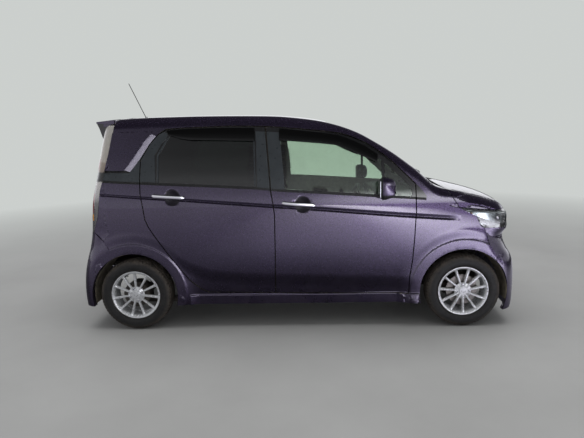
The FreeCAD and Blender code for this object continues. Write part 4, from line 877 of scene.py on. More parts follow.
def wheel(place, side):
    centre = Vector(((HALF_BASE if place == "front" else -HALF_BASE) + SHIFT,
                     652.5 * (1 if side == "left" else -1), AXLE_Z)) / 1000
    turn = 0.0 if side == "left" else math.pi
    spin = {"front": 0.05, "rear": 0.30}[place]
    where = "_%s_%s" % (place, side)
    rim = "rim" + where
    tyre = ring_mesh("tyre" + where + "_detail", TYRE_PROFILE, TREAD_BLOCKS * 4, RUBBER, tyre_shape)
    barrel = ring_mesh(rim + "_barrel", RIM_PROFILE, 144, ALLOY)
    spokes = rim_spokes(rim + "_spokes")
    hub = rim_hub(rim)
    valve = ring_mesh(rim + "_valve", [(48, 3.2), (62, 3.0), (64, 2.2), (64.2, 0.2)], 16, BLACK_PLASTIC,
                      closed=False)
    for vertex in valve.data.vertices:
        vertex.co.x += 0.1585 * math.sin(0.06)
        vertex.co.z += 0.1585 * math.cos(0.06)
    for obj, angle in [(tyre, 38), (barrel, 50), (spokes, 40), (valve, None)] + hub:
        if angle:
            obj.data.set_sharp_from_angle(angle=math.radians(angle))
        obj.data.transform(Matrix.Rotation(turn, 4, "Z") @ Matrix.Rotation(spin, 4, "Y"))
        obj.matrix_world = Matrix.Translation(centre)
        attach(obj, "wheel" + where)
    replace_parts(tyre, "tyre" + where)
    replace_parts(barrel, rim)


for wheel_place in ("front", "rear"):
    for wheel_side in ("right", "left"):
        wheel(wheel_place, wheel_side)


# Shapes laid on, under or out from the body surface, in drawing millimetres.
def skin_point(origin, way, depth):
    """Points along each way from the origin where the body surface lies at the depth."""
    way = np.atleast_2d(np.asarray(way, float))
    origin = np.broadcast_to(np.asarray(origin, float), way.shape)
    low = np.zeros(len(way))
    high = np.full(len(way), 1200.0)
    for _ in range(34):
        middle = (low + high) / 2
        deep = inside(*(origin + way * middle[:, None]).T) > depth
        low = np.where(deep, middle, low)
        high = np.where(deep, high, middle)
    return origin + way * ((low + high) / 2)[:, None]


def side_point(x, z, sign, depth):
    """Points on the side of the body at stations and heights; sign -1 is the right side."""
    start = np.stack([np.asarray(x, float), np.zeros(len(x)), np.asarray(z, float)], axis=1)
    return skin_point(start, np.tile([0.0, float(sign), 0.0], (len(x), 1)), depth)


def nose_point(angle, z, depth, sign):
    """Points round the nose at angles in degrees from the middle line."""
    angle = np.radians(np.asarray(angle, float))
    start = np.stack([np.full(len(z), 1200.0), np.zeros(len(z)), np.asarray(z, float)], axis=1)
    return skin_point(start, np.stack([np.cos(angle), sign * np.sin(angle), np.zeros(len(z))], axis=1), depth)


def tail_point(y, z, depth, angle=0.0, sign=1, x=-1100.0):
    """Point on the tail, seen from x at an angle in radians from the middle line."""
    return skin_point([x, y, z], (-math.cos(angle), sign * math.sin(angle), 0.0), depth)[0]


def to_metres(points):
    """Points in the row frame."""
    result = np.array(points, float).reshape(-1, 3)
    result[:, 0] += SHIFT
    return result / 1000


def bulge(value, power):
    return math.copysign(abs(value) ** power, value)


def apply_modifier(obj, kind, **values):
    """Make the modified shape the object's own mesh."""
    modifier = obj.modifiers.new(kind, kind)
    for key, value in values.items():
        setattr(modifier, key, value)
    mesh = bpy.data.meshes.new_from_object(obj.evaluated_get(bpy.context.evaluated_depsgraph_get()))
    obj.modifiers.clear()
    obj.data = mesh


def sheet_mesh(name, grid, material, thick, body="car"):
    """Sheet through a grid of points, thickened both ways along its normals."""
    grid = np.asarray(grid, float)
    obj = make(name, to_metres(grid), quads(*grid.shape[:2], False), material)
    apply_modifier(obj, "SOLIDIFY", thickness=thick / 1000, offset=0.0)
    return settle(obj, body, angle=40)


def lathe(name, profile, place, way, material, count=64, body="car", angle=34):
    """Revolve of (along, radius) about a line through place."""
    way = Vector(way).normalized()
    u = way.cross(Vector((0, 0, 1)) if abs(way.z) < 0.9 else Vector((1, 0, 0))).normalized()
    w = way.cross(u).normalized()
    verts = []
    for a in circle(count):
        ring = u * math.cos(a) + w * math.sin(a)
        verts += [Vector(place) + way * out + ring * radius for out, radius in profile]
    obj = make(name, to_metres(verts), quads(count, len(profile), False, True, turned=True), material)
    return settle(obj, body, angle)


def rounded_box(name, low, high, radius, material):
    """Box with rounded edges between two corners."""
    bm = bmesh.new()
    bmesh.ops.create_cube(bm, size=1.0)
    for v in bm.verts:
        v.co = to_metres([low[axis] if v.co[axis] < 0 else high[axis] for axis in range(3)])[0]
    bmesh.ops.bevel(bm, geom=bm.edges[:], offset=radius / 1000, segments=3, profile=0.5, affect="EDGES")
    obj = make(name, [], [], material)
    bm.to_mesh(obj.data)
    bm.free()
    obj.data.polygons.foreach_set("use_smooth", [True] * len(obj.data.polygons))
    return settle(obj)


def tube(name, points, radius, material, body="car", sides=12):
    """Round bar along points, with one radius or a list of them."""
    points = [Vector(p) for p in points]
    radii = radius if isinstance(radius, list) else [radius] * len(points)
    up_hint = Vector((0.03, 0.02, 1.0)).normalized()
    verts = []
    for k, (p, r) in enumerate(zip(points, radii)):
        way = (points[min(k + 1, len(points) - 1)] - points[max(k - 1, 0)]).normalized()
        u = way.cross(up_hint if abs(way.dot(up_hint)) < 0.95 else Vector((1.0, 0, 0))).normalized()
        w = way.cross(u).normalized()
        verts += [p + (u * math.cos(a) + w * math.sin(a)) * r for a in circle(sides)]
    return settle(make(name, to_metres(verts), bar_faces(len(points), sides), material), body, angle=50)


# Window visors: a smoked strip that hangs out a little over the top of each side window.
VISOR_REAR = (
    [(-965, 1533), (-840, 1541), (-640, 1544), (-483, 1543), (-300, 1538)],
    [(-948, 1500), (-860, 1472), (-780, 1459), (-560, 1452), (-300, 1441)],
)
VISOR_FRONT = (
    [(-115, 1530), (41, 1511), (200, 1492), (330, 1468), (430, 1430), (520, 1387), (612, 1326)],
    [(-117, 1441), (41, 1427), (200, 1411), (304, 1398), (400, 1362), (476, 1323), (606, 1268)],
)


def visor(name, edges, sign, body):
    count = len(edges[0])
    at = np.linspace(0, count - 1, 31)
    upper, lower = (np.array([np.interp(at, range(count), values) for values in zip(*edge)])
                    for edge in edges)
    rows = []
    for v in np.arange(7) / 6:
        x, z = upper * (1 - v) + lower * v
        p = side_point(x, z, sign, 0.0)
        p[:, 1] += sign * (1.2 + 13.0 * math.sin(min(1.0, v * 1.25) * math.pi / 2))
        rows.append(p)
    sheet_mesh(name, rows, VISOR, 2.2, body)


# Headlamps: a chrome bowl with two projectors, a white light bar and a side marker behind the clear lens.
LAMP_TOP = ([46, 60, 75, 88], [874, 880, 888, 898])
LAMP_FOOT = ([46, 60, 66, 72, 80, 88], [786, 786, 790, 820, 862, 884])


def lamp_inside(start, sign):
    rows = []
    for k, angle in enumerate(np.linspace(46.5, 86.0, 14)):
        z = np.linspace(np.interp(angle, *LAMP_FOOT), np.interp(angle, *LAMP_TOP), 9)
        rows.append(nose_point(np.full(9, angle), z, 20.0 + 4.0 * math.sin(k * 1.3), sign))
    sheet_mesh(start + "bowl", rows, BOWL, 1.0)
    way = (math.cos(math.radians(30)), sign * math.sin(math.radians(30)), 0.02)
    for label, angle, z, r in (("low", 55.0, 832, 36), ("high", 67.0, 846, 27)):
        seat = nose_point([angle], [z], 24.0, sign)[0]
        lathe(start + label + "_reflector", [
            (-9, 4), (-8, r * 0.45), (-4, r * 0.75), (2, r * 0.93), (7, r), (9, r + 1.5), (7, r + 3),
            (-2, r + 3),
        ], seat, way, CHROME, 56)
        lathe(start + label + "_projector", [
            (-6, r * 0.55), (1, r * 0.56), (4, r * 0.50), (7, r * 0.38), (9, r * 0.2), (9.6, 0.4),
        ], seat, way, BULB, 48, angle=60)
    bar = [nose_point([angle], [np.interp(angle, *LAMP_TOP) - 5.0], 10.5, sign)[0]
           for angle in np.linspace(47.5, 84.0, 22)]
    tube(start + "bar", bar, 4.2, LAMP_GLOW, sides=10)
    lathe(start + "marker", [(-5, 7), (0, 8), (4, 6.5), (6, 3), (6.4, 0.4)],
          nose_point([82.0], [880], 12.0, sign)[0], (0.2, sign, 0), AMBER, 32, angle=60)


# Door handles: a rounded bar on two feet over a dish.
def handle(name, start, end, sign, body):
    def spot(u):
        return [start[0] + (end[0] - start[0]) * u], [start[1] + (end[1] - start[1]) * u]

    steps = 26
    sides = 16
    verts = []
    for u in np.arange(steps + 1) / steps:
        x, y, z = side_point(*spot(u), sign, 0.0)[0]
        near = min(u, 1 - u) * 12
        cap = max(math.sqrt(max(0.0, 1 - (1 - near) ** 2)), 0.12) if near < 1 else 1.0
        out = 12.0 + 12.0 * math.sin(math.pi * u) ** 0.6
        for a in circle(sides):
            deep = bulge(math.sin(a), 0.6) * 6.5 * cap
            verts.append((x, sign * (abs(y) + out + deep), z + bulge(math.cos(a), 0.6) * 13.0 * cap))
    settle(make(name, to_metres(verts), bar_faces(steps + 1, sides), CHROME), body, angle=45)
    for label, u in (("a", 0.07), ("b", 0.93)):
        lathe(name + "_foot_" + label, [(-6, 13), (4, 12.5), (12, 11), (22, 9.5), (24, 4)],
              side_point(*spot(u), sign, 4.0)[0], (0, sign, 0), BLACK_PLASTIC, 28, body)


# Bars and rubbers on the side windows: name, door, outline, stations, width, depth and material.
STRIPS = (
    ("division_bar", "front", [(647, 1288), (651, 1150), (655, 1030)], 16, 22, 2.0, GLOSS_BLACK),
    ("belt_rubber_front", "front", [(-96, 1077), (230, 1056), (578, 1029), (846, 1008)], 40, 12, -2.0, SEAL),
    ("belt_rubber_rear", "rear", [(-1150, 1151), (-986, 1140), (-640, 1121), (-300, 1099)], 40, 12, -2.0,
     SEAL),
    ("window_edge_rear", "rear", [(-1033, 1146), (-1033, 1350), (-1003, 1397), (-942, 1496)], 36, 12, 2.0,
     FILM),
    ("window_edge_middle", "rear", [(-306, 1506), (-301, 1110)], 20, 10, 2.0, FILM),
)


def strip_piece(name, outline, count, wide, depth, material, sign, body):
    outline = np.array(outline, float)
    lengths = np.concatenate([[0], np.cumsum(np.linalg.norm(np.diff(outline, axis=0), axis=1))])
    at = np.linspace(0, lengths[-1], count)
    stations = np.stack([np.interp(at, lengths, outline[:, k]) for k in (0, 1)], axis=1)
    way = np.gradient(stations, axis=0)
    way /= np.linalg.norm(way, axis=1, keepdims=True)
    normal = np.stack([way[:, 1], -way[:, 0]], axis=1)
    rows = [side_point(*(stations + normal * ((k / 3 - 0.5) * wide)).T, sign, depth) for k in range(4)]
    sheet_mesh(name, rows, material, 3.0, body)


# Mirrors: a dark foot on the door, a rounded shell with a dark lower part, and the glass that looks back.
def mirror_shell(side_name, sign):
    body = "front_door_" + side_name
    start = "mirror_%s_" % side_name
    low, high = (np.array(corner) * 1000 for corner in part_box("mirror_" + side_name))
    inner, outer = sorted((abs(low[1]), abs(high[1])))
    x_mid = (low[0] + high[0]) / 2
    y_mid = sign * (inner + outer + 26) / 2
    z_mid = (low[2] + high[2]) / 2 + 8
    x_half = (high[0] - low[0]) / 2 - 1
    y_half = (outer - inner - 26) / 2 - 1
    z_half = (high[2] - low[2]) / 2 - 9
    rows, cols = 27, 48
    verts = []
    for b in np.linspace(-math.pi / 2, math.pi / 2, rows):
        wide = max(math.cos(b), 0.0) ** 0.5
        cz = bulge(math.sin(b), 0.52)
        for a in circle(cols):
            cx = wide * bulge(math.cos(a), 0.52)
            narrow = 1.0 - 0.22 * max(0.0, cx) - 0.06 * max(0.0, -cz)
            verts.append(((x_mid + x_half * max(cx, -0.82)) / 1000,
                          (y_mid + y_half * wide * bulge(math.sin(a), 0.52) * narrow) / 1000,
                          (z_mid + z_half * cz * narrow) / 1000))
    shell = make(start + "shell", verts, quads(rows, cols), PAINT)
    shell.data.materials.append(BLACK_PLASTIC)
    for polygon in shell.data.polygons:
        mid = polygon.center * 1000
        if mid.z < z_mid - z_half * 0.58 or mid.x < x_mid - x_half * 0.70:
            polygon.material_index = 1
    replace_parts(settle(shell, body), "mirror_" + side_name)
    glass = []
    for v in np.linspace(-1, 1, 9):
        glass.append([(x_mid - x_half * 0.82 - 1.2 - 1.5 * (1 - u * u), y_mid + y_half * u * 0.82,
                       z_mid + z_half * v * (1 - 0.12 * abs(u) ** 3) * 0.80) for u in np.linspace(-1, 1, 13)])
    sheet_mesh(start + "glass", glass, MIRROR_GLASS, 1.2, body)
    foot = [(x_mid + 6 - 4 * u, sign * (inner + 2 + 34 * u), z_mid - z_half * (0.98 - 0.42 * u))
            for u in np.arange(9) / 8]
    tube(start + "foot", foot, [26 - 8 * abs(k / 8 - 0.4) for k in range(9)], BLACK_PLASTIC, body, 20)
    edge = side_point([x_mid + 4], [z_mid - z_half * 0.95], sign, 0.0)[0]
    tube(start + "base", [edge - (0, sign * 4, 0), np.array(foot[0]) + (0, sign * 4, 0)], [30, 24],
         BLACK_PLASTIC, body, 20)


# Wipers on the windscreen.
def wiper(name, pivot_x, pivot_y, y0, y1):
    def over(x, y, out):
        return x, y, float(top(np.array([x]), np.array([y]))[0]) + out

    blade = []
    for k in range(15):
        y = y0 + (y1 - y0) * k / 14
        blade.append(over(985 - 60 * (abs(y) / HALF_WIDTH) ** 2, y, 5.0))
    tube(name + "_rubber", blade, 4.0, SEAL, sides=10)
    tube(name + "_spine", [(x, y, z + 6.0) for x, y, z in blade[1:-1]], 3.4, BLACK_PLASTIC, sides=8)
    start = np.array(over(pivot_x, pivot_y, 2.0))
    arm = [start + (np.array(blade[7]) - start) * u + (0, 0, 9 * math.sin(math.pi * u) + 8 * u)
           for u in np.arange(9) / 8]
    tube(name + "_arm", arm, [7 - 3 * k / 8 for k in range(9)], BLACK_PLASTIC, sides=10)
    lathe(name + "_pivot", [(-12, 13), (2, 13), (8, 11), (11, 5), (11.5, 0.5)], over(pivot_x, pivot_y, -4.0),
          (0.25, 0, 1), BLACK_PLASTIC, 32)


# Blank plates on both ends, with a raised frame and two bolts each.
def plate(name, x, z_low, way, body):
    size = 330.0
    tall = 165.0
    rows, cols = 13, 25
    verts = []
    for z in np.linspace(z_low, z_low + tall, rows):
        for y in np.linspace(-size / 2, size / 2, cols):
            rim = min(size / 2 - abs(y), z - z_low, z_low + tall - z)
            verts.append((x + way * (1.2 if 3 < rim < 14 else 0.2), y, z))
    obj = make(name, to_metres(verts), quads(rows, cols, False), PLATE)
    apply_modifier(obj, "SOLIDIFY", thickness=0.0015, offset=0.0)
    settle(obj, body, angle=30)
    for label, y in (("_bolt_right", -105), ("_bolt_left", 105)):
        lathe(name + label, [(0, 8), (2.2, 7.6), (3.4, 5.5), (3.6, 0.5)],
              (x + way * 0.4, y, z_low + tall - 18), (way, 0, 0), CHROME, 24, body)


def fog_lamp(start, sign):
    way = (math.cos(0.593), sign * math.sin(0.593), 0.0)
    seat = skin_point([1250.0, sign * 240.0, 345.0], way, 11.0)[0]
    lathe(start + "bezel", [(-2, 58), (5, 57), (7, 53), (5.5, 45), (1, 40), (-3, 39)], seat, way, GLOSS_BLACK)
    lathe(start + "reflector", [(-10, 0.5), (-9.5, 14), (-7, 25), (-2, 34), (0, 38)], seat, way, BOWL, 56)
    lathe(start + "lens", [(0, 38.5), (2.5, 34), (4.5, 22), (5.2, 10), (5.4, 0.5)], seat, way, LAMP_CLEAR,
          56, angle=60)


# Tail lamps: red and amber elements that show through the lower and upper lens, and reflectors in the bumper.
def tail_element(name, z_low, z_high, material, sign):
    rows = []
    for k in range(7):
        row = []
        for j in range(9):
            lift = -1.4 * math.sin(math.pi * j / 8) * math.sin(math.pi * k / 6)
            row.append(tail_point(sign * 40.0, z_low + (z_high - z_low) * j / 8, 0.2 + lift,
                                  math.radians(49.5 + 6.5 * k / 6), sign))
        rows.append(row)
    sheet_mesh(name, rows, material, 1.0)


def rear_reflector(name, sign):
    sheet_mesh(name, [[
        tail_point(0.0, z, depth, math.radians(16 + k), sign, -1150.0)
        for z, depth in ((402, 1.0), (408, -2.2), (430, -3.0), (452, -2.2), (458, 1.0))
    ] for k in range(15)], RED_LENS, 1.5)


# Arch liners round the wheels, dusty on the inside.
def arch_liner(name, x_middle, y_in, y_out, sign):
    rows = []
    for k in range(49):
        angle = math.radians(-12 + 204 * k / 48)
        row = []
        for j in range(9):
            radius = ARCH - 5.0 + 1.2 * math.cos(9 * angle) - 10.0 * max(0.0, (2 - j) / 2) ** 2
            row.append((x_middle + radius * math.cos(angle), sign * (y_in + (y_out - y_in) * j / 8),
                        AXLE_Z + radius * math.sin(angle)))
        rows.append(row)
    sheet_mesh(name, rows, ARCH_LINER, 2.0)


SIDES = (("right", -1), ("left", 1))
for side_name, sign in SIDES:
    front_door = "front_door_" + side_name
    rear_door = "rear_door_" + side_name
    visor("visor_front_" + side_name, VISOR_FRONT, sign, front_door)
    visor("visor_rear_" + side_name, VISOR_REAR, sign, rear_door)
    lamp_inside("headlamp_%s_" % side_name, sign)
    handle("handle_front_" + side_name, (-104, 983), (145, 963), sign, front_door)
    handle("handle_rear_" + side_name, (-1077, 1053), (-828, 1035), sign, rear_door)
    for name, door, *shape in STRIPS:
        strip_piece("%s_%s" % (name, side_name), *shape, sign, "%s_door_%s" % (door, side_name))
    mirror_shell(side_name, sign)
    fog_lamp("fog_lamp_%s_" % side_name, sign)
    rear_reflector("rear_reflector_" + side_name, sign)
    for label, z_low, z_high, lens in (("stop", 930, 1075, RED_LENS), ("turn", 868, 918, AMBER),
                                       ("upper", 1240, 1330, RED_LENS)):
        tail_element("tail_lamp_%s_%s" % (side_name, label), z_low, z_high, lens, sign)
    arch_liner("arch_liner_front_" + side_name, HALF_BASE, 560, 708, sign)
    arch_liner("arch_liner_rear_" + side_name, -HALF_BASE, 500, 700, sign)
wiper("wiper_right", 1040, -110, -520, -60)
wiper("wiper_left", 1040, 470, 0, 430)

# Tailgate: wiper, plate and the garnish over it. The front plate stands on the bumper's pad.
GATE = "tailgate_assembly"
gate_blade = [tail_point(-20 + 330 * k / 14, 1126 + 14 * math.sin(k / 14 * 3.1), -1.0) - (4, 0, 0)
              for k in range(15)]
gate_hub = tail_point(0.0, 1082.0, 0.0)
tube("wiper_tailgate_blade", gate_blade, 4.2, BLACK_PLASTIC, GATE, 10)
lathe("wiper_tailgate_hub", [(-8, 17), (6, 16), (11, 12), (12.5, 0.5)], gate_hub, (-1, 0, 0.1),
      BLACK_PLASTIC, 36, GATE)
tube("wiper_tailgate_arm", [(gate_hub[0] - 8, 0, 1082), (gate_blade[4][0] - 3, 60, 1104), gate_blade[7]],
     [8, 6, 5], BLACK_PLASTIC, GATE, 10)
plate("plate_front", 1696.0, 252, 1, "car")
plate("plate_rear", tail_point(0.0, 786.0, 0.0)[0] + 3.0, 704, -1, GATE)
garnish = []
for y in np.linspace(-232, 232, 13):
    x = tail_point(y, 898.0, 0.0)[0]
    garnish.append([(x + 4, y, 884), (x - 7, y, 887), (x - 9, y, 898), (x - 6, y, 909), (x + 4, y, 912)])
sheet_mesh("tailgate_garnish", garnish, CHROME, 1.6, GATE)


# Seat cushions: rounded blocks with a crown, side bolsters, sewn grooves and soft creases.
def block_grid(half, radius, step):
    """Points and faces of a closed block with rounded edges, on an even grid."""
    counts = [max(4, int(2 * h / step)) for h in half]
    lookup = {}
    faces = []
    for axis in range(3):
        b, c = (axis + 1) % 3, (axis + 2) % 3
        for end in (0, counts[axis]):
            for i in range(counts[b]):
                for j in range(counts[c]):
                    quad = []
                    for di, dj in ((0, 0), (1, 0), (1, 1), (0, 1)):
                        key = [end] * 3
                        key[b] = i + di
                        key[c] = j + dj
                        quad.append(lookup.setdefault(tuple(key), len(lookup)))
                    faces.append(quad if end else quad[::-1])
    half = np.array(half)
    points = 2 * half * np.array(list(lookup)) / counts - half
    core = np.clip(points, radius - half, half - radius)
    off = points - core
    length = np.linalg.norm(off, axis=1, keepdims=True)
    return core + off / np.maximum(length, 1e-9) * np.minimum(length, radius), faces


def cushion(name, centre, half, lean, crown=14.0, bolster=16.0, seams=(), split_at=0.62, radius=30.0,
            step=9.0, seed=0.0):
    """Padded block; its own Z is the face leant on, and lean turns it back about the Y axis, in degrees."""
    points, faces = block_grid(half, min(radius, min(half) * 0.9), step * 2)
    block = make(name, points / 1000, faces, CLOTH)
    apply_modifier(block, "SUBSURF", levels=1)
    x, y, z = read(block.data.vertices, "co", 3).T * 1000
    u, v = x / half[0], y / half[1]
    upper = np.clip(z / half[2] + 0.15, 0.0, 1.0)
    inner_zone = np.clip((split_at + 0.03 - np.abs(v)) / 0.06, 0.0, 1.0)
    lift = crown * (1 - u ** 2) * (1 - (v / split_at) ** 2) * inner_zone
    side = np.clip((np.abs(v) - split_at) / (1 - split_at), 0.0, 1.0)
    lift += bolster * np.sin(math.pi * side) ** 0.8 * (1 - np.abs(u) ** 6)
    groove = np.exp(-((np.abs(v) - split_at) * half[1] / 5.0) ** 2) * 7.0
    for at in seams:
        bow = at + 0.03 * np.cos(v * 3)
        groove = np.maximum(groove, np.exp(-((u - bow) * half[0] / 5.0) ** 2) * 6.0 * inner_zone)
    folds = 1.3 * np.sin(x / 31.0 + seed + 1.7 * np.sin(y / 57.0)) * np.sin(y / 43.0 + seed * 2)
    folds += 0.7 * np.sin(x / 13.0 + y / 19.0 + seed)
    around = np.clip(1 - (np.abs(z) / half[2]) ** 2, 0, 1)
    piping = 3.0 * np.exp(-((z - half[2] * 0.45) / 4.5) ** 2)
    z = z + (lift - groove + folds) * upper
    x = x + np.sign(x) * (np.abs(u) > 0.93) * (4.0 * around + piping - 5.0)
    y = y + np.sign(y) * (np.abs(v) > 0.93) * (5.0 * around + piping - 6.0)
    a = math.radians(lean)
    turned = [x * math.cos(a) + z * math.sin(a), y, z * math.cos(a) - x * math.sin(a)]
    block.data.vertices.foreach_set("co", to_metres(np.stack(turned, axis=1) + centre).ravel())
    block.data.update()
    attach(block, "car")
    return block


def seat(node, sign):
    mid = sign * 330.0
    base = cushion(node + "_cushion", (80, mid, 468), (246, 228, 66), -3, 10, 18, (-0.45, 0.1, 0.6),
                   seed=1.1)
    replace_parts(base, node)
    cushion(node + "_back", (-226, mid, 776), (298, 224, 52), -76, 12, 20, (-0.55, -0.1, 0.38, 0.78),
            seed=2.3)
    cushion(node + "_headrest", (-297, mid, 1196), (84, 122, 40), -80, 8, 0, (), 0.9, 34.0, 8.0, 3.1)
    rounded_box(node + "_base", (-120, mid - 190, 262), (290, mid + 190, 408), 14, BLACK_PLASTIC)
    for label, way in (("in", -sign), ("out", sign)):
        post = mid + way * 55
        tube(node + "_post_" + label, [(-292, post, 1040), (-298, post, 1150)], 6.0, CHROME, sides=14)
        rail = mid + way * 150
        rounded_box(node + "_rail_" + label, (-160, rail - 22, 233), (320, rail + 22, 268), 6, UNDER)
    lathe(node + "_dial", [(-3, 24), (6, 23), (13, 20), (15, 15), (15.5, 0.5)], (-130, mid + sign * 234, 470),
          (0, sign, 0), BLACK_PLASTIC, 36)


rear_base = cushion("seat_rear_cushion", (-668, 0, 474), (212, 552, 62), -4, 9, 8,
                    (-0.3, 0.35), 0.9, seed=4.2, step=11.0)
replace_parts(rear_base, "seat_rear")
rounded_box("seat_rear_base", (-862, -540, 236), (-470, 540, 412), 18, LINER)
for side_name, sign in SIDES:
    seat("seat_front_" + side_name, sign)
    cushion("seat_rear_back_" + side_name, (-925, sign * 277, 786), (270, 272, 48), -76, 9, 14,
            (-0.5, 0.0, 0.5), 0.72, seed=5.0 + sign, step=11.0)
    cushion("seat_rear_headrest_" + side_name, (-1010, sign * 300, 1106), (58, 118, 36), -78,
            6, 0, (), 0.9, 28.0, 9.0, 6.0)

# Dashboard details: hood over the gauges, middle screen, air vents, glove box lid and the inner mirror.
rounded_box("dash_hood", (628, -480, 985), (800, -180, 1036), 22, DASH)
rounded_box("dash_gauges", (622, -455, 900), (654, -205, 990), 12, GLOSS_BLACK)
rounded_box("dash_screen", (640, -98, 866), (656, 98, 972), 6, GLOSS_BLACK)
rounded_box("dash_screen_frame", (645, -112, 852), (662, 112, 984), 10, DASH_PALE)
rounded_box("dash_glove_lid", (648, 190, 812), (664, 520, 892), 9, DASH_PALE)
rounded_box("dash_shift_base", (630, -128, 690), (668, -20, 800), 12, GLOSS_BLACK)
tube("dash_shift_stick", [(640, -74, 760), (600, -74, 770), (578, -74, 796)], [7, 7, 6], CHROME, sides=14)
lathe("dash_shift_knob", [(-14, 6), (-10, 15), (0, 19), (11, 17), (17, 9), (18, 0.5)], (572, -74, 808),
      (-0.5, 0, 1), BLACK_PLASTIC, 36)
for label, y in (("far_right", -530), ("near_right", -150), ("near_left", 150), ("far_left", 530)):
    lathe("dash_vent_" + label,
          [(-2, 44), (7, 44), (10, 41), (9, 36), (1, 34), (0, 20), (4, 16), (6, 6), (6.2, 0.5)],
          (652, y, 938), (-1, 0, 0), CHROME if abs(y) > 200 else GLOSS_BLACK, 48)
rounded_box("inner_mirror", (372, -118, 1372), (398, 118, 1430), 12, BLACK_PLASTIC)
rounded_box("inner_mirror_glass", (369.5, -108, 1380), (373.5, 108, 1423), 1.8, MIRROR_GLASS)
tube("inner_mirror_stem", [(392, 0, 1424), (405, 0, 1446), (408, 0, 1470)], [9, 8, 12], BLACK_PLASTIC,
     sides=14)

# Fins below the ends of the roof spoiler, beside the tailgate glass.
FIN = np.array([
    (-1432, 1604), (-1545, 1612), (-1553, 1600), (-1536, 1560), (-1519, 1500), (-1502, 1452), (-1478, 1452),
    (-1440, 1560),
])
for side_name, sign in SIDES:
    verts = []
    for y, share in ((470.0, 0.96), (466.0, 1.0), (450.0, 1.0), (446.0, 0.96)):
        middle = FIN.mean(axis=0)
        verts += [(x, sign * y, z) for x, z in middle + (FIN - middle) * share]
    fin = make("spoiler_fin_" + side_name, to_metres(verts), bar_faces(4, len(FIN)), GLOSS_BLACK)
    settle(fin, GATE, 40)

# Camera at the photograph's place.
yaw, pitch, roll = -0.0334, 0.1722, -0.0232
forward = Vector((math.sin(yaw) * math.cos(pitch), math.cos(yaw) * math.cos(pitch), -math.sin(pitch)))
right = Vector((math.cos(yaw), -math.sin(yaw), 0.0))
up = right.cross(forward)
right_rolled = right * math.cos(roll) + up * math.sin(roll)
up_rolled = up * math.cos(roll) - right * math.sin(roll)
camera_data = bpy.data.cameras.new("camera")
camera_data.sensor_width = 36.0
camera_data.lens = 29.52
camera = bpy.data.objects.new("camera", camera_data)
place = Matrix((right_rolled, up_rolled, -forward)).transposed().to_4x4()
place.translation = Vector((0.0796, -4.2504, 1.4734))
camera.matrix_world = place
scene.collection.objects.link(camera)
scene.camera = camera

# Floor that fades into the background with distance from the object, with a painted reflection for glossy
# rays.
BACKGROUND = (0.60, 0.625, 0.61)
m = material("floor")
grey = m.ramp(m.noise(0.9, 5.0, 0.6), [(0.3, (0.30, 0.30, 0.295)), (0.7, (0.34, 0.34, 0.335))])
matt = m.principled(Base_Color=grey, Roughness=0.6)
far = m.add("Emission", {"Color": BACKGROUND, "Strength": 1.0})
distance = m.add("VectorMath", [m.coords], operation="LENGTH").outputs["Value"]
path = m.add("LightPath").outputs
seen = m.maths("MAXIMUM", path["Is Camera Ray"], path["Is Transmission Ray"])
blend = m.add("MixShader", [m.times(m.range(distance, 3.4, 9.0), seen), matt, far])
x = m.axis("X")
# Painted reflection of the floor for glossy rays: a glowing colour that is near black close to the object as
# painted shade, lighter further out, and much brighter ahead of the object as painted light.
painted_floor_reflection = m.add("Emission", {
    "Color": m.ramp(m.range(distance, 0.0, 12.0), [
        (0.0, (0.006, 0.006, 0.008)), (0.105, (0.008, 0.008, 0.010)), (0.16, (0.07, 0.068, 0.085)),
        (0.27, (0.24, 0.235, 0.275)), (0.55, (0.42, 0.41, 0.46)), (1.0, (0.55, 0.54, 0.58)),
    ]),
    "Strength": m.times(m.range(x, -1.4, 1.6, 1.1, 5.0), m.range(x, 3.0, 4.2, 1.0, 0.03),
                        m.range(x, 1.2, 2.3, 1.0, 3.0), m.range(m.axis("Y"), -2.0, -0.9, 1.0, 0.14)),
})
m.done(m.add("MixShader", [m.times(path["Is Glossy Ray"], 0.9), blend, painted_floor_reflection]))
floor = make("floor", [(-60, -60, 0), (60, -60, 0), (60, 60, 0), (-60, 60, 0)], [(0, 1, 2, 3)], m.owner,
             False)

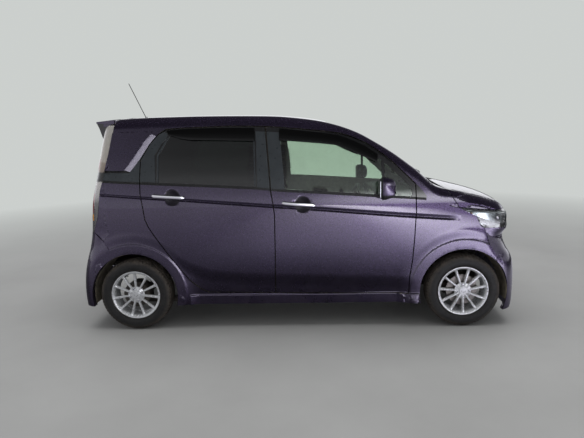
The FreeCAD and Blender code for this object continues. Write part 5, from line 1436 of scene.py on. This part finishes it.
# Soft studio light: a pale background for the camera, even light for matt surfaces, and for glossy ones a
# room with a pale wall behind the object, a bright low band ahead of it and a dark ceiling.
scene.world = bpy.data.worlds.new("world")
m = Nodes(scene.world, "OutputWorld", "Generated")
way_x, way_y, way_z = m.add("SeparateXYZ", [m.coords]).outputs
STOPS = (
    (0.00, 0.03), (0.40, 0.10), (0.47, 0.50), (0.50, 0.75), (0.54, 0.75), (0.60, 0.50), (0.67, 0.42),
    (0.74, 0.08), (0.86, 0.04), (1.00, 0.03),
)


def step(way, low, high, to_low=0.0, to_high=1.0):
    return m.range(way, low, high, to_low, to_high, "SMOOTHSTEP")


sky = m.ramp(m.range(way_z, -1.0, 1.0), [(level, (v * 0.97, v * 0.98, v * 1.03)) for level, v in STOPS])
ahead = m.times(step(way_x, -0.08, 0.30), step(way_x, 0.50, 0.68, 1.0, 0.0))
low_band = m.times(step(way_z, -0.06, 0.06), step(way_z, 0.08, 0.22, 1.0, 0.0))
glow = m.times(ahead, low_band, step(way_y, -0.2, 0.2, 1.0, 0.0), 4.2)
behind = m.times(step(way_y, 0.2, 0.6), step(way_z, -0.1, 0.0, 0.0, 0.28), step(way_z, 0.30, 0.55, 1.0, 0.0))
room = m.add("Background", [sky, 1.0])
extra = m.add("Background", [(0.96, 0.97, 1.0), m.maths("ADD", glow, behind)])
mirror_room = m.add("AddShader", [room, extra])
even = m.add("Background", [(0.97, 0.985, 1.0), 0.55])
pale = m.add("Background", [BACKGROUND, 1.0])
path = m.add("LightPath").outputs
matt_or_glossy = m.add("MixShader", [path["Is Glossy Ray"], even, mirror_room])
m.done(m.add("MixShader", [path["Is Camera Ray"], matt_or_glossy, pale]))

lamp_data = bpy.data.lights.new("light_top", "AREA")
lamp_data.shape = "RECTANGLE"
lamp_data.size = 9.0
lamp_data.size_y = 5.0
lamp_data.energy = 420.0
lamp = bpy.data.objects.new("light_top", lamp_data)
lamp.location = (0.0, 0.0, 6.5)
lamp.visible_glossy = False
scene.collection.objects.link(lamp)
